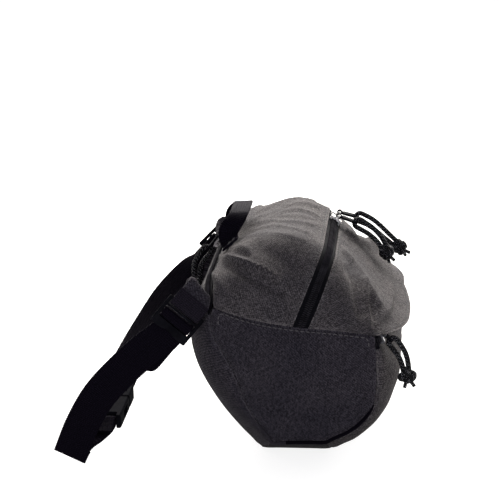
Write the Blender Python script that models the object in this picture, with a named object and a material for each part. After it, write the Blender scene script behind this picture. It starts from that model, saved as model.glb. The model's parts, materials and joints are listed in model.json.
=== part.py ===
"""A fanny pack: a stuffed zipped bag on a webbing belt with ladder-locks and a side-release buckle.

Metres, +Z up. X runs along the pack, -Y is its front and +Y the wearer's side. It stands on z = 0.
"""

import math

import bmesh
import bpy
import numpy as np
from mathutils import Matrix, Vector

MM = 0.001

# Bag: the middle stretch has one constant section, and each end narrows to a flat end panel
PACK_HEIGHT = 145.0 * MM
FRONT_REACH = 70.0 * MM
BACK_REACH = 68.5 * MM
STRAIGHT_HALF = 60.0 * MM
END_RUN = 48.0 * MM
END_X = STRAIGHT_HALF + END_RUN
END_TOP = 0.724 * PACK_HEIGHT
END_FRONT = 0.771 * FRONT_REACH
END_BACK = 0.752 * BACK_REACH
END_BULGE = 5.5 * MM
PANEL_WALL = 2.4 * MM
SEAM_GAP = 0.3 * MM
HIDDEN_EDGE_GAP = 5.6 * MM

# Inside layers
BACK_MESH_WALL = 1.8 * MM
FOAM_THICKNESS = 5.0 * MM
LINING_WALL = 1.0 * MM
POCKET_DEPTH = 12.0 * MM
POCKET_WALL_FOOT = 8.0 * MM
FOAM_FOOT = 12.0 * MM
LINING_FOOT = 16.0 * MM

# Zips
MAIN_ZIP_WIDTH = 12.0 * MM
POCKET_ZIP_WIDTH = 8.4 * MM
TAPE_WALL = 0.8 * MM
TAPE_RECESS = 0.6 * MM
COIL_WIDTH = 4.8 * MM
COIL_HEIGHT = 1.5 * MM
SLIDER_LENGTH = 9.0 * MM
SLIDER_PLATE = 1.2 * MM
SLIDER_FLANGE = 1.3 * MM
SLIDER_CLEARANCE = 0.35 * MM
BAIL_SPAN = 6.6 * MM
BAIL_WIRE = 1.2 * MM
PULL_LENGTH = 14.0 * MM
PULL_WIDTH = 7.0 * MM
PULL_THICKNESS = 1.6 * MM
FRONT_PULL_LENGTH = 6.6 * MM
PULL_HOLE_RADIUS = 1.95 * MM
PULL_HOLE_INSET = 2.65 * MM
PULL_CORD_DIAMETER = 3.2 * MM
CORD_TURN_RADIUS = 3.8 * MM
STRAND_SPREAD = 1.95 * MM
KNOT_LENGTH = 9.0 * MM
KNOT_WIDTH = 8.0 * MM
NEAR_SLIDER_X = STRAIGHT_HALF - 24.0 * MM
FAR_SLIDER_X = STRAIGHT_HALF - 10.0 * MM
FRONT_SLIDER_X = 10.0 * MM - END_X
BACK_SLIDER_X = STRAIGHT_HALF - 6.0 * MM

# Belt
WEBBING_WIDTH = 22.0 * MM
WEBBING_THICKNESS = 1.5 * MM
WING_HEIGHT = 34.0 * MM
WING_THICKNESS = 4.0 * MM
LOCK_RAIL = 2.3 * MM
LOCK_THICKNESS = 2.4 * MM
LOCK_SLOT_CLEARANCE = 0.4 * MM
PIPING_RADIUS = 1.2 * MM
BUCKLE_WIDTH = 29.0 * MM
BUCKLE_THICKNESS = 9.6 * MM
BUCKLE_WALL = 1.7 * MM
BUCKLE_CLEARANCE = 0.35 * MM

# Grab loop
GRAB_HALF_SPAN = 30.0 * MM
GRAB_RISE = 22.0 * MM
GRAB_WIDTH = 13.0 * MM
GRAB_LEAN = np.array([0.0, -0.3, 0.95])

# The section's stations from the bottom front seam, up the front, over the top and down the back, as
# shares of the reach and of the height. The last number says how late the station narrows near an end.
AT_ONCE = 1.15
EARLY = 1.5
SOON = 2.0
LATE = 8.0
MIDDLE_STATIONS = [
    (-0.343, 0.000, AT_ONCE),
    (-0.571, 0.066, EARLY),
    (-0.757, 0.159, SOON),
    (-0.893, 0.262, SOON),
    (-0.979, 0.421, SOON),
    (-0.814, 0.559, LATE),
    (-0.771, 0.617, LATE),
    (-0.879, 0.666, SOON),
    (-0.793, 0.714, SOON),
    (-0.629, 0.797, SOON),
    (-0.414, 0.886, SOON),
    (-0.214, 0.962, SOON),
    (0.044, 1.000, SOON),
    (0.365, 0.974, SOON),
    (0.584, 0.924, SOON),
    (0.745, 0.852, SOON),
    (0.876, 0.762, SOON),
    (0.978, 0.652, SOON),
    (1.000, 0.545, SOON),
    (0.927, 0.400, SOON),
    (0.715, 0.214, EARLY),
    (0.321, 0.000, AT_ONCE),
]
END_STATIONS = [
    (-0.410, 0.176),
    (-0.740, 0.266),
    (-0.944, 0.385),
    (-1.000, 0.495),
    (-1.000, 0.638),
    (-0.990, 0.762),
    (-0.972, 0.843),
    (-0.833, 0.859),
    (-0.667, 0.868),
    (-0.444, 0.879),
    (-0.222, 0.886),
    (0.020, 0.898),
    (0.252, 0.912),
    (0.505, 0.936),
    (0.748, 0.967),
    (0.970, 1.000),
    (1.000, 0.914),
    (0.980, 0.838),
    (0.854, 0.724),
    (0.709, 0.590),
    (0.524, 0.371),
    (0.233, 0.165),
]
LAST = len(MIDDLE_STATIONS) - 1
BOTTOM_END = LAST + 1
FRONT_ZIP = 5.5
POCKET_WALL_TOP = 4.5
FLAP_ROOT = 8.0
MAIN_ZIP = 10.5
BACK_ZIP = 15.5
BACK_ZIP_REACH = 1.84
PIPING_TOP = 2.3

for old in list(bpy.data.objects):
    bpy.data.objects.remove(old)


def material(name, colour, roughness, metallic=0.0):
    made = bpy.data.materials.new(name)
    made.use_nodes = True
    shader = made.node_tree.nodes["Principled BSDF"]
    shader.inputs["Base Color"].default_value = (*colour, 1.0)
    shader.inputs["Roughness"].default_value = roughness
    shader.inputs["Metallic"].default_value = metallic
    return made


CANVAS = material("charcoal_canvas", (0.085, 0.08, 0.085), 0.9)
MESH_FABRIC = material("back_mesh", (0.03, 0.03, 0.033), 0.95)
LINING = material("lining", (0.12, 0.12, 0.13), 0.8)
FOAM = material("foam", (0.3, 0.3, 0.3), 0.95)
TAPE = material("zip_tape", (0.03, 0.03, 0.033), 0.85)
COIL = material("zip_coil", (0.02, 0.02, 0.022), 0.4)
METAL = material("slider_metal", (0.62, 0.61, 0.6), 0.3, 1.0)
PLASTIC = material("black_plastic", (0.015, 0.015, 0.018), 0.35)
WEBBING = material("black_webbing", (0.02, 0.02, 0.025), 0.8)
CORD = material("pull_cord", (0.03, 0.03, 0.035), 0.7)


# The bag's surface


def end_blend(run, lateness):
    """0 where the narrowing starts and 1 at the end panel, square to the section there."""
    return 1.0 - (1.0 - run**lateness) ** (1.0 / lateness)


def x_and_run(v):
    """v runs from -2 to 2: within 1 the section is constant, and past it the pack narrows."""
    side = math.copysign(1.0, v)
    if abs(v) <= 1.0:
        return STRAIGHT_HALF * v, 0.0
    run = math.sin((min(abs(v), 2.0) - 1.0) * math.pi / 2)
    return side * (STRAIGHT_HALF + END_RUN * run), run


def v_at(x):
    """The v of a place along the pack."""
    if abs(x) <= STRAIGHT_HALF:
        return x / STRAIGHT_HALF
    run = min((abs(x) - STRAIGHT_HALF) / END_RUN, 1.0)
    return math.copysign(1.0 + math.asin(run) * 2 / math.pi, x)


def station(index, run):
    """Station's place in the section, as (y, z)."""
    mid_y, mid_z, lateness = MIDDLE_STATIONS[index]
    end_y, end_z = END_STATIONS[index]
    middle = np.array([mid_y * (FRONT_REACH if mid_y < 0 else BACK_REACH), mid_z * PACK_HEIGHT])
    end = np.array([end_y * (END_FRONT if end_y < 0 else END_BACK), end_z * END_TOP])
    return middle + end_blend(run, lateness) * (end - middle)


def surface(v, u):
    """Point of the bag's outer surface: v along the pack, u the station round the section."""
    x, run = x_and_run(v)
    if u > LAST:
        first, second = station(LAST, run), station(0, run)
        place = first + (u - LAST) * (second - first)
        return np.array([x, *place])
    low = min(int(u), LAST - 1)
    part = u - low
    near, far = station(low, run), station(low + 1, run)
    before = station(low - 1, run) if low > 0 else 2 * near - far
    after = station(low + 2, run) if low + 2 <= LAST else 2 * far - near
    place = 0.5 * (
        2 * near
        + (far - before) * part
        + (2 * before - 5 * near + 4 * far - after) * part**2
        + (3 * near - before - 3 * far + after) * part**3
    )
    return np.array([x, *place])


def unit(vector):
    return vector / np.linalg.norm(vector)


def smooth_normal(v, u):
    step = 0.002
    inner_v = math.copysign(min(abs(v), 2.0 - 2 * step), v)
    along = surface(inner_v + step, u) - surface(inner_v - step, u)
    low, high = max(u - step, 0.0), min(u + step, float(BOTTOM_END))
    if low < LAST < high:
        low, high = (LAST, high) if u > LAST else (low, LAST)
    across = surface(v, high) - surface(v, low)
    if abs(v) > 2.0 - step:
        return np.array([math.copysign(1.0, v), 0.0, 0.0])
    return unit(np.cross(along, across))


def inward(v, u):
    """Inward direction for a wall of thickness 1, mitred at the two bottom corners."""
    corner_share = 0.02
    for corner, one, other in (
        (LAST, LAST - 0.01, LAST + 0.01),
        (BOTTOM_END, BOTTOM_END - 0.01, 0.01),
        (0, BOTTOM_END - 0.01, 0.01),
    ):
        if abs(u - corner) < corner_share:
            first, second = smooth_normal(v, one), smooth_normal(v, other)
            middle = unit(first + second)
            return -middle / max(float(first @ middle), 0.5)
    return -smooth_normal(v, u)


def beside(centre, distance):
    """Function of v giving the u that lies this far round the section from a station."""

    def found(v):
        start = surface(v, centre)
        low, high = 0.0, 1.6
        sign = math.copysign(1.0, distance)
        for _ in range(30):
            middle = (low + high) / 2
            if np.linalg.norm(surface(v, centre + sign * middle) - start) < abs(distance):
                low = middle
            else:
                high = middle
        return centre + sign * high

    return found


def past(corner, distance):
    """Function of v giving the u this far inside a panel from a corner station."""

    def found(v):
        step = math.copysign(0.05, distance)
        length = np.linalg.norm(surface(v, corner + step) - surface(v, corner))
        return corner + step * abs(distance) / length

    return found


def rows_between(first, last):
    """v of each row: six rows over each narrowing end and a few over the straight middle."""
    ends = [1.0 + step / 6 for step in range(7)]
    rows = [-v for v in reversed(ends)] + [-0.5, 0.0, 0.5] + ends
    return [v for v in rows if first - 1e-9 <= v <= last + 1e-9]


# Mesh building


def add_object(name, points, faces, look, origin=(0.0, 0.0, 0.0)):
    """A closed mesh with its faces turned outwards, and its own origin at a world point."""
    origin = np.array(origin, float)
    mesh = bpy.data.meshes.new(name)
    mesh.from_pydata([tuple(np.array(p) - origin) for p in points], [], faces)
    work = bmesh.new()
    work.from_mesh(mesh)
    bmesh.ops.recalc_face_normals(work, faces=work.faces)
    work.to_mesh(mesh)
    work.free()
    mesh.materials.append(look)
    mesh.shade_smooth()
    mesh.set_sharp_from_angle(angle=math.radians(40))
    made = bpy.data.objects.new(name, mesh)
    made.location = origin
    bpy.context.scene.collection.objects.link(made)
    return made


def sheet_solid(name, outer, inner, look):
    """Closed solid between two grids of points with the same rows and columns."""
    rows, columns = len(outer), len(outer[0])
    points = [p for row in outer for p in row] + [p for row in inner for p in row]

    def at(layer, row, column):
        return (layer * rows + row) * columns + column

    faces = []
    for row in range(rows - 1):
        for column in range(columns - 1):
            for layer in (0, 1):
                faces.append(
                    [
                        at(layer, row, column),
                        at(layer, row + 1, column),
                        at(layer, row + 1, column + 1),
                        at(layer, row, column + 1),
                    ]
                )
    for row in range(rows - 1):
        for side in (0, columns - 1):
            faces.append([at(0, row, side), at(0, row + 1, side), at(1, row + 1, side), at(1, row, side)])
    for column in range(columns - 1):
        for end in (0, rows - 1):
            near, far = at(0, end, column), at(1, end, column)
            faces.append([near, near + 1, far + 1, far])
    return add_object(name, points, faces, look)


end_stations_used = set()


def panel(name, start, stop, columns, look, outer_depth=0.0, inner_depth=PANEL_WALL, reach=2.0):
    """Wall of the bag from one station to another, between two depths under the outer surface."""
    rows = rows_between(-reach, reach)

    def value(of, v, share):
        return of(v, share) if callable(of) else of

    def grid(depth):
        made = []
        for v in rows:
            first, last = start(v), stop(v)
            shares = [column / (columns - 1) for column in range(columns)]
            us = [first + share * (last - first) for share in shares]
            made.append([surface(v, u) + inward(v, u) * value(depth, v, s) for u, s in zip(us, shares)])
            if v == 2.0 and outer_depth == 0.0:
                end_stations_used.update(us)
        return made

    return sheet_solid(name, grid(outer_depth), grid(inner_depth), look)


def frame_at(v, u):
    """Origin and directions on the surface: along the pack, round the section and outwards."""
    normal = smooth_normal(v, u)
    across = surface(v, min(u + 0.01, BOTTOM_END)) - surface(v, u - 0.01)
    across = unit(across - normal * float(across @ normal))
    return surface(v, u), np.cross(across, normal), across, normal


def band(name, centre, near_edge, far_edge, bottom, top, look, reach=2.0):
    """Flat strip that follows a zip: between two distances round the section and two heights."""
    outer, inner = [], []
    for v in rows_between(-reach, reach):
        place, _, across, normal = frame_at(v, centre)
        outer.append([place + across * side + normal * top for side in (near_edge, far_edge)])
        inner.append([place + across * side + normal * bottom for side in (near_edge, far_edge)])
    return sheet_solid(name, outer, inner, look)


def smooth_route(points, per_span):
    """Points along a smooth curve through the given ones."""
    points = [np.array(p, float) for p in points]
    padded = [2 * points[0] - points[1], *points, 2 * points[-1] - points[-2]]
    route = []
    for i in range(1, len(padded) - 2):
        before, near, far, after = padded[i - 1 : i + 3]
        for step in range(per_span):
            part = step / per_span
            route.append(
                0.5
                * (
                    2 * near
                    + (far - before) * part
                    + (2 * before - 5 * near + 4 * far - after) * part**2
                    + (3 * near - before - 3 * far + after) * part**3
                )
            )
    route.append(points[-1])
    return route


def ribbon(name, stations, width, thickness, look):
    """Webbing through stations of (centre, width direction)."""
    centres = [np.array(s[0], float) for s in stations]
    outer, inner = [], []
    for i, centre in enumerate(centres):
        ahead = centres[min(i + 1, len(centres) - 1)]
        behind = centres[max(i - 1, 0)]
        along = unit(ahead - behind)
        across = np.array(stations[i][1], float)
        across = unit(across - along * float(across @ along))
        normal = np.cross(along, across)
        half = width / 2
        lift = normal * thickness / 2
        outer.append([centre + across * half + lift, centre - across * half + lift])
        inner.append([centre + across * half - lift, centre - across * half - lift])
    return sheet_solid(name, outer, inner, look)


def box_mesh(work, low, high):
    """Adds a box between two corners to a bmesh."""
    low, high = Vector(low), Vector(high)
    size = high - low
    place = Matrix.Translation((low + high) / 2) @ Matrix.Diagonal((*size, 1.0))
    bmesh.ops.create_cube(work, size=1.0, matrix=place)


def box_object(name, low, high):
    mesh = bpy.data.meshes.new(name)
    work = bmesh.new()
    box_mesh(work, low, high)
    work.to_mesh(mesh)
    work.free()
    made = bpy.data.objects.new(name, mesh)
    bpy.context.scene.collection.objects.link(made)
    return made


def combine(base, other, operation):
    """Cuts or joins another object, which stays as a hidden helper."""
    other.hide_render = True
    other.display_type = "WIRE"
    step = base.modifiers.new(other.name, "BOOLEAN")
    step.operation = operation
    step.object = other
    return base


def soften(made, width):
    bevel = made.modifiers.new("edges", "BEVEL")
    bevel.width = width
    bevel.segments = 1
    bevel.limit_method = "ANGLE"


def place_in(made, matrix, look):
    """Puts a piece that was built round the origin, and its helpers, into a frame."""
    made.matrix_world = matrix
    for step in made.modifiers:
        if step.type == "BOOLEAN":
            step.object.matrix_world = matrix
    made.data.materials.append(look)
    made.data.shade_smooth()
    made.data.set_sharp_from_angle(angle=math.radians(40))
    return made


def frame_matrix(origin, first, second, third):
    made = Matrix.Identity(4)
    for column, direction in enumerate((first, second, third)):
        for row in range(3):
            made[row][column] = float(direction[row])
    made.translation = Vector([float(c) for c in origin])
    return made


def tube(name, points, radius, look, resolution=2, cyclic=False):
    """Round cord as a curve through points."""
    curve = bpy.data.curves.new(name, "CURVE")
    curve.dimensions = "3D"
    curve.bevel_depth = radius
    curve.bevel_resolution = resolution
    curve.use_fill_caps = True
    spline = curve.splines.new("POLY")
    spline.points.add(len(points) - 1)
    for point, place in zip(spline.points, points):
        point.co = (*[float(c) for c in place], 1.0)
    spline.use_cyclic_u = cyclic
    curve.materials.append(look)
    made = bpy.data.objects.new(name, curve)
    bpy.context.scene.collection.objects.link(made)
    return made


# Bag panels


def make_bag():
    half_gap = SEAM_GAP / 2
    main_edge = MAIN_ZIP_WIDTH / 2 + SEAM_GAP
    pocket_edge = POCKET_ZIP_WIDTH / 2 + SEAM_GAP
    panel("front_pocket_panel", past(0, half_gap), beside(FRONT_ZIP, -pocket_edge), 9, CANVAS)
    under_flap = beside(FRONT_ZIP, pocket_edge + HIDDEN_EDGE_GAP)
    panel("front_top_panel", under_flap, beside(MAIN_ZIP, -main_edge), 9, CANVAS)
    panel("rear_top_panel", beside(MAIN_ZIP, main_edge), beside(BACK_ZIP, -pocket_edge - SEAM_GAP), 8, CANVAS)
    panel(
        "back_panel",
        beside(BACK_ZIP, pocket_edge + SEAM_GAP),
        past(LAST, -half_gap),
        9,
        MESH_FABRIC,
        inner_depth=BACK_MESH_WALL,
    )
    panel("bottom_panel", past(LAST, half_gap), past(BOTTOM_END, -half_gap), 4, CANVAS)
    make_end_panel("near_end_panel", -1.0)
    make_end_panel("far_end_panel", 1.0)
    make_inside()
    make_flap()
    make_piping("near_piping", -1.0)
    make_piping("far_piping", 1.0)


def end_loop(side):
    """Outline of an end panel's opening, as (y, z)."""
    return [surface(2.0 * side, u)[1:] for u in sorted(end_stations_used)]


def make_end_panel(name, side):
    """Domed end panel, sewn inside the outline that the other panels leave."""
    loop = end_loop(side)
    count = len(loop)
    middle = sum(loop) / count
    inset = []
    for i, place in enumerate(loop):
        along = unit(loop[(i + 1) % count] - loop[i - 1])
        square = np.array([along[1], -along[0]])
        if square @ (middle - place) < 0:
            square = -square
        inset.append(place + square * SEAM_GAP * 1.2)
    shares = (1.0, 0.82, 0.55, 0.25)
    points, faces = [], []
    for layer in (0.0, PANEL_WALL):
        for share in shares:
            x = side * (END_X + END_BULGE * (1 - share**2) - layer)
            points += [(x, *(middle + share * (place - middle))) for place in inset]
        points.append((side * (END_X + END_BULGE - layer), *middle))
    per_layer = count * len(shares) + 1
    for layer in (0, 1):
        base = layer * per_layer
        for ring in range(len(shares) - 1):
            for i in range(count):
                j = (i + 1) % count
                near, far = base + ring * count, base + (ring + 1) * count
                faces.append([near + i, near + j, far + j, far + i])
        last = base + (len(shares) - 1) * count
        faces += [[last + i, last + (i + 1) % count, base + per_layer - 1] for i in range(count)]
    faces += [[i, (i + 1) % count, per_layer + (i + 1) % count, per_layer + i] for i in range(count)]
    return add_object(name, points, faces, CANVAS)


def make_inside():
    """Foam behind the back panel, the back pocket's lining and the front pocket's inner wall."""
    foam_top = BACK_MESH_WALL + 3 * SEAM_GAP
    lining_top = foam_top + FOAM_THICKNESS + 3 * SEAM_GAP
    inner_reach = 1.67
    panel(
        "back_foam",
        beside(BACK_ZIP, POCKET_ZIP_WIDTH),
        past(LAST, -FOAM_FOOT),
        6,
        FOAM,
        outer_depth=foam_top,
        inner_depth=foam_top + FOAM_THICKNESS,
        reach=inner_reach,
    )
    panel(
        "back_pocket_lining",
        beside(BACK_ZIP, POCKET_ZIP_WIDTH),
        past(LAST, -LINING_FOOT),
        6,
        LINING,
        outer_depth=lining_top,
        inner_depth=lining_top + LINING_WALL,
        reach=inner_reach,
    )

    def lens(extra):
        def depth(v, share):
            seat = PANEL_WALL + 3 * SEAM_GAP
            return seat + extra + (POCKET_DEPTH - seat) * math.sin(math.pi * share)

        return depth

    panel(
        "pocket_divider",
        past(0, POCKET_WALL_FOOT),
        lambda v: POCKET_WALL_TOP,
        9,
        LINING,
        outer_depth=lens(0.0),
        inner_depth=lens(LINING_WALL),
        reach=inner_reach,
    )


FLAP_THICKNESS = 1.5 * MM
FLAP_OVERHANG = 0.236 * FRONT_REACH
FLAP_END_OVERHANG = 1.0 * MM
FLAP_DROP = 2.0 * MM


def make_flap():
    """Storm flap that hangs from the front top panel over the pocket's zip."""
    outer, inner = [], []
    for v in rows_between(-1.84, 1.84):
        _, run = x_and_run(v)
        blend = end_blend(run, SOON)
        lift = FLAP_OVERHANG + blend * (FLAP_END_OVERHANG - FLAP_OVERHANG)
        zip_edge = surface(v, FRONT_ZIP + 0.5)
        out = unit(smooth_normal(v, FRONT_ZIP) * np.array([1, 1, 0]))
        hem = zip_edge + out * lift + np.array([0, 0, -FLAP_DROP])
        row_in = [surface(v, u) - inward(v, u) * SEAM_GAP for u in (FLAP_ROOT, 7.6, 7.2)]
        row_in.append(surface(v, 6.9) - inward(v, 6.9) * SEAM_GAP * 2)
        row_in.append(hem)
        row_out = []
        for i, place in enumerate(row_in):
            direction = -inward(v, (FLAP_ROOT, 7.6, 7.2, 6.9, 6.9)[i])
            row_out.append(place + direction * FLAP_THICKNESS)
        outer.append(row_out)
        inner.append(row_in)
    sheet_solid("pocket_flap", outer, inner, CANVAS)


def make_piping(name, side):
    """Bound edge under an end panel and up its front."""
    x = side * (END_X + PIPING_RADIUS + SEAM_GAP)
    front = [PIPING_TOP - step * PIPING_TOP / 5 for step in range(6)]
    us = front + [(LAST + BOTTOM_END) / 2] + [LAST - step * 0.2 for step in range(4)]
    points = [(x, *surface(2.0 * side, u)[1:]) for u in us]
    tube(name, points, PIPING_RADIUS, WEBBING, resolution=1)


# Zips

# Headings of the pulls as (y, z), and the routes of their cords as steps in mm from each pull's tip
NEAR_PULL_HEADING = (-0.94, -0.35)
NEAR_CORD_STEPS = [(-0.4, -7.0, -3.9), (-0.8, -11.5, -7.4), (-1.2, -15.2, -11.3), (-1.5, -17.8, -15.6)]
FAR_PULL_HEADING = (-0.97, -0.245)
FAR_CORD_STEPS = [(0.4, -7.0, -3.0), (0.8, -13.0, -7.3), (1.2, -19.2, -13.0), (1.6, -25.1, -18.2)]
FRONT_PULL_HEADING = (-0.7, -0.71)
FRONT_CORD_STEPS = [(-0.4, -4.7, -5.0), (-0.8, -7.6, -8.6), (-1.0, -9.2, -12.6), (-1.2, -10.2, -16.4)]
BACK_PULL_HEADING = (0.6, -0.8)
BACK_CORD_STEPS = [(0.4, 4.4, -6.0), (0.8, 6.8, -11.0), (1.0, 7.6, -16.0), (0.8, 7.2, -21.0)]


def make_zip(name, centre, width, low_side, high_side, reach=2.0):
    """Two tapes and two coils that meet on the zip's centre line."""
    half_gap = SEAM_GAP / 2
    edges = {low_side: -1.0, high_side: 1.0}
    coil_bottom = -TAPE_RECESS + SEAM_GAP
    for side, sign in edges.items():
        tape = sorted((sign * half_gap, sign * width / 2))
        coil = sorted((sign * half_gap, sign * COIL_WIDTH / 2))
        band(f"{name}_{side}_tape", centre, *tape, -TAPE_RECESS - TAPE_WALL, -TAPE_RECESS, TAPE, reach)
        band(f"{name}_{side}_coil", centre, *coil, coil_bottom, coil_bottom + COIL_HEIGHT, COIL, reach)


def bail_height():
    """Height of the pull's axis over the surface."""
    coil_top = -TAPE_RECESS + SEAM_GAP + COIL_HEIGHT
    plate_top = coil_top + SLIDER_CLEARANCE + SLIDER_PLATE
    return plate_top + PULL_THICKNESS + SLIDER_CLEARANCE


def slider_frame(x, centre):
    """Matrix on the surface: X along the pack, Y round the section, Z outwards."""
    place, along, across, normal = frame_at(v_at(x), centre)
    return frame_matrix(place, along, across, normal)


def make_slider(name, x, centre):
    """Slider: a plate with side flanges over the coil, and a bail with a straight bar on top."""
    coil_top = -TAPE_RECESS + SEAM_GAP + COIL_HEIGHT
    plate_low = coil_top + SLIDER_CLEARANCE
    plate_high = plate_low + SLIDER_PLATE
    inner_half = COIL_WIDTH / 2 + SLIDER_CLEARANCE
    outer_half = inner_half + SLIDER_FLANGE
    half_length = SLIDER_LENGTH / 2
    flange_low = -TAPE_RECESS + SLIDER_CLEARANCE
    made = box_object(name, (-half_length, -outer_half, flange_low), (half_length, outer_half, plate_high))
    work = bmesh.new()
    work.from_mesh(made.data)
    corners = [e for e in work.edges if abs(e.verts[0].co.z - e.verts[1].co.z) > SLIDER_PLATE]
    bmesh.ops.bevel(work, geom=corners, offset=1.6 * MM, segments=3, affect="EDGES")
    work.to_mesh(made.data)
    work.free()
    channel = box_object(
        name + "_channel", (-SLIDER_LENGTH, -inner_half, -COIL_HEIGHT), (SLIDER_LENGTH, inner_half, plate_low)
    )
    combine(made, channel, "DIFFERENCE")
    post = BAIL_WIRE / 2
    bar_high = bail_height() + post
    half_span = BAIL_SPAN / 2
    bail = box_object(name + "_bail", (-half_span, -post, plate_high - 0.5 * MM), (half_span, post, bar_high))
    window = box_object(
        name + "_window",
        (-half_span + BAIL_WIRE, -BAIL_WIRE, plate_high),
        (half_span - BAIL_WIRE, BAIL_WIRE, bar_high - BAIL_WIRE),
    )
    combine(made, bail, "UNION")
    combine(made, window, "DIFFERENCE")
    soften(bail, 0.25 * MM)
    return place_in(made, slider_frame(x, centre), METAL)


def bail_axis(x, centre):
    """World point on the axis that a pull swings about."""
    matrix = slider_frame(x, centre)
    return np.array(matrix @ Vector((0, 0, bail_height())))


def make_pull(name, x, centre, direction, length, owner):
    """Oval pull whose eye turns on the bail's bar; direction is its (y, z) heading at rest."""
    axis = bail_axis(x, centre)
    heading = unit(np.array([0.0, *direction]))
    side = np.array([1.0, 0.0, 0.0])
    face = np.cross(side, heading)
    eye_inner = math.hypot(BAIL_WIRE / 2, BAIL_WIRE / 2) + 0.2 * MM
    eye_outer = eye_inner + 0.8 * MM
    eye_half = BAIL_SPAN / 2 - BAIL_WIRE - SLIDER_CLEARANCE
    made = bpy.data.objects.new(name, bpy.data.meshes.new(name))
    work = bmesh.new()
    plate_start = eye_inner + 0.1 * MM
    corner = PULL_WIDTH / 2
    outline = [(plate_start, -eye_half), (plate_start, eye_half)]
    arc_centre = length - corner
    if arc_centre > plate_start + 2.2 * MM:
        outline.append((plate_start + 2.2 * MM, corner))
    for step in range(7):
        angle = math.pi / 2 - math.pi * step / 6
        outline.append((arc_centre + corner * math.cos(angle), corner * math.sin(angle)))
    if arc_centre > plate_start + 2.2 * MM:
        outline.append((plate_start + 2.2 * MM, -corner))
    low = [work.verts.new((across, ahead, -PULL_THICKNESS / 2)) for ahead, across in outline]
    bottom = work.faces.new(low)
    top = bmesh.ops.extrude_face_region(work, geom=[bottom])
    moved = [v for v in top["geom"] if isinstance(v, bmesh.types.BMVert)]
    bmesh.ops.translate(work, verts=moved, vec=(0, 0, PULL_THICKNESS))
    bmesh.ops.recalc_face_normals(work, faces=work.faces)
    work.to_mesh(made.data)
    work.free()
    bpy.context.scene.collection.objects.link(made)
    barrel = cylinder_object(name + "_barrel", eye_outer, eye_half)
    bore = cylinder_object(name + "_bore", eye_inner, eye_half * 2)
    combine(made, barrel, "UNION")
    combine(made, bore, "DIFFERENCE")
    hole = cylinder_object(name + "_hole", PULL_HOLE_RADIUS, 2 * PULL_THICKNESS)
    hole.data.transform(Matrix.Rotation(math.pi / 2, 4, "Y"))
    hole.data.transform(Matrix.Translation((0, length - PULL_HOLE_INSET, 0)))
    combine(made, hole, "DIFFERENCE")
    place_in(made, frame_matrix(axis, side, heading, face), PLASTIC)
    hang_on(made, owner)
    return made


def cylinder_object(name, radius, half_length):
    """Cylinder along X round the origin."""
    mesh = bpy.data.meshes.new(name)
    work = bmesh.new()
    turn = Matrix.Rotation(math.pi / 2, 4, "Y")
    bmesh.ops.create_cone(
        work, cap_ends=True, segments=14, radius1=radius, radius2=radius, depth=2 * half_length, matrix=turn
    )
    work.to_mesh(mesh)
    work.free()
    made = bpy.data.objects.new(name, mesh)
    bpy.context.scene.collection.objects.link(made)
    return made


def hang_on(child, owner):
    """Parents a placed object and keeps it where it is."""
    child.parent = owner
    child.matrix_parent_inverse = owner.matrix_world.inverted()


def make_knot(name, place, direction, owner):
    """Overhand knot as a lumpy ball with a short frayed end past it."""
    mesh = bpy.data.meshes.new(name)
    work = bmesh.new()
    bmesh.ops.create_uvsphere(work, u_segments=12, v_segments=8, radius=0.5)
    for vert in work.verts:
        angle = math.atan2(vert.co.y, vert.co.x)
        swell = 1.0 + 0.12 * math.sin(2 * angle + 5 * vert.co.z)
        vert.co.x *= KNOT_WIDTH * swell
        vert.co.y *= KNOT_WIDTH * swell
        vert.co.z *= KNOT_LENGTH
    work.to_mesh(mesh)
    work.free()
    made = bpy.data.objects.new(name, mesh)
    bpy.context.scene.collection.objects.link(made)
    heading = unit(np.array(direction, float))
    side = unit(np.cross(heading, (1.0, 0.0, 0.0)))
    place_in(made, frame_matrix(place, side, np.cross(heading, side), heading), CORD)
    hang_on(made, owner)
    return made


def cord_loop(x, centre, direction, length, route):
    """Points of a cord through the pull's hole, with both strands side by side down to the knot."""
    heading = unit(np.array([0.0, *direction]))
    axis = bail_axis(x, centre)
    side = np.array([1.0, 0.0, 0.0])
    face = np.cross(side, heading)
    turn_centre = axis + heading * (length - PULL_HOLE_INSET + CORD_TURN_RADIUS)
    tip = axis + heading * length
    middle = smooth_route([turn_centre, *[tip + np.array(step) * MM for step in route]], 2)[1:]
    upper, lower = [], []
    for number, place in enumerate(middle):
        before = middle[number - 1] if number else turn_centre
        after = middle[min(number + 1, len(middle) - 1)]
        square = unit(np.cross(side, after - before))
        share = (number + 1) / len(middle)
        spread = CORD_TURN_RADIUS + share * (STRAND_SPREAD - CORD_TURN_RADIUS)
        upper.append(place + square * spread)
        lower.append(place - square * spread)
    turn = []
    for degrees in (90, 60, 30, 0, -30, -60, -90):
        angle = math.radians(degrees)
        turn.append(turn_centre + CORD_TURN_RADIUS * (face * math.sin(angle) - heading * math.cos(angle)))
    return list(reversed(upper)) + turn + lower, middle


def make_pull_cord(name, x, centre, direction, length, route, owner):
    """Cord looped through the pull and down hand-chosen (x, y, z) steps in mm from its tip, to a knot."""
    points, middle = cord_loop(x, centre, direction, length, route)
    cord = tube(f"{name}_cord", points, PULL_CORD_DIAMETER / 2, CORD)
    hang_on(cord, owner)
    last = unit(middle[-1] - middle[-2])
    make_knot(f"{name}_knot", middle[-1] + last * (KNOT_LENGTH / 2 + SEAM_GAP), last, owner)


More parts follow.
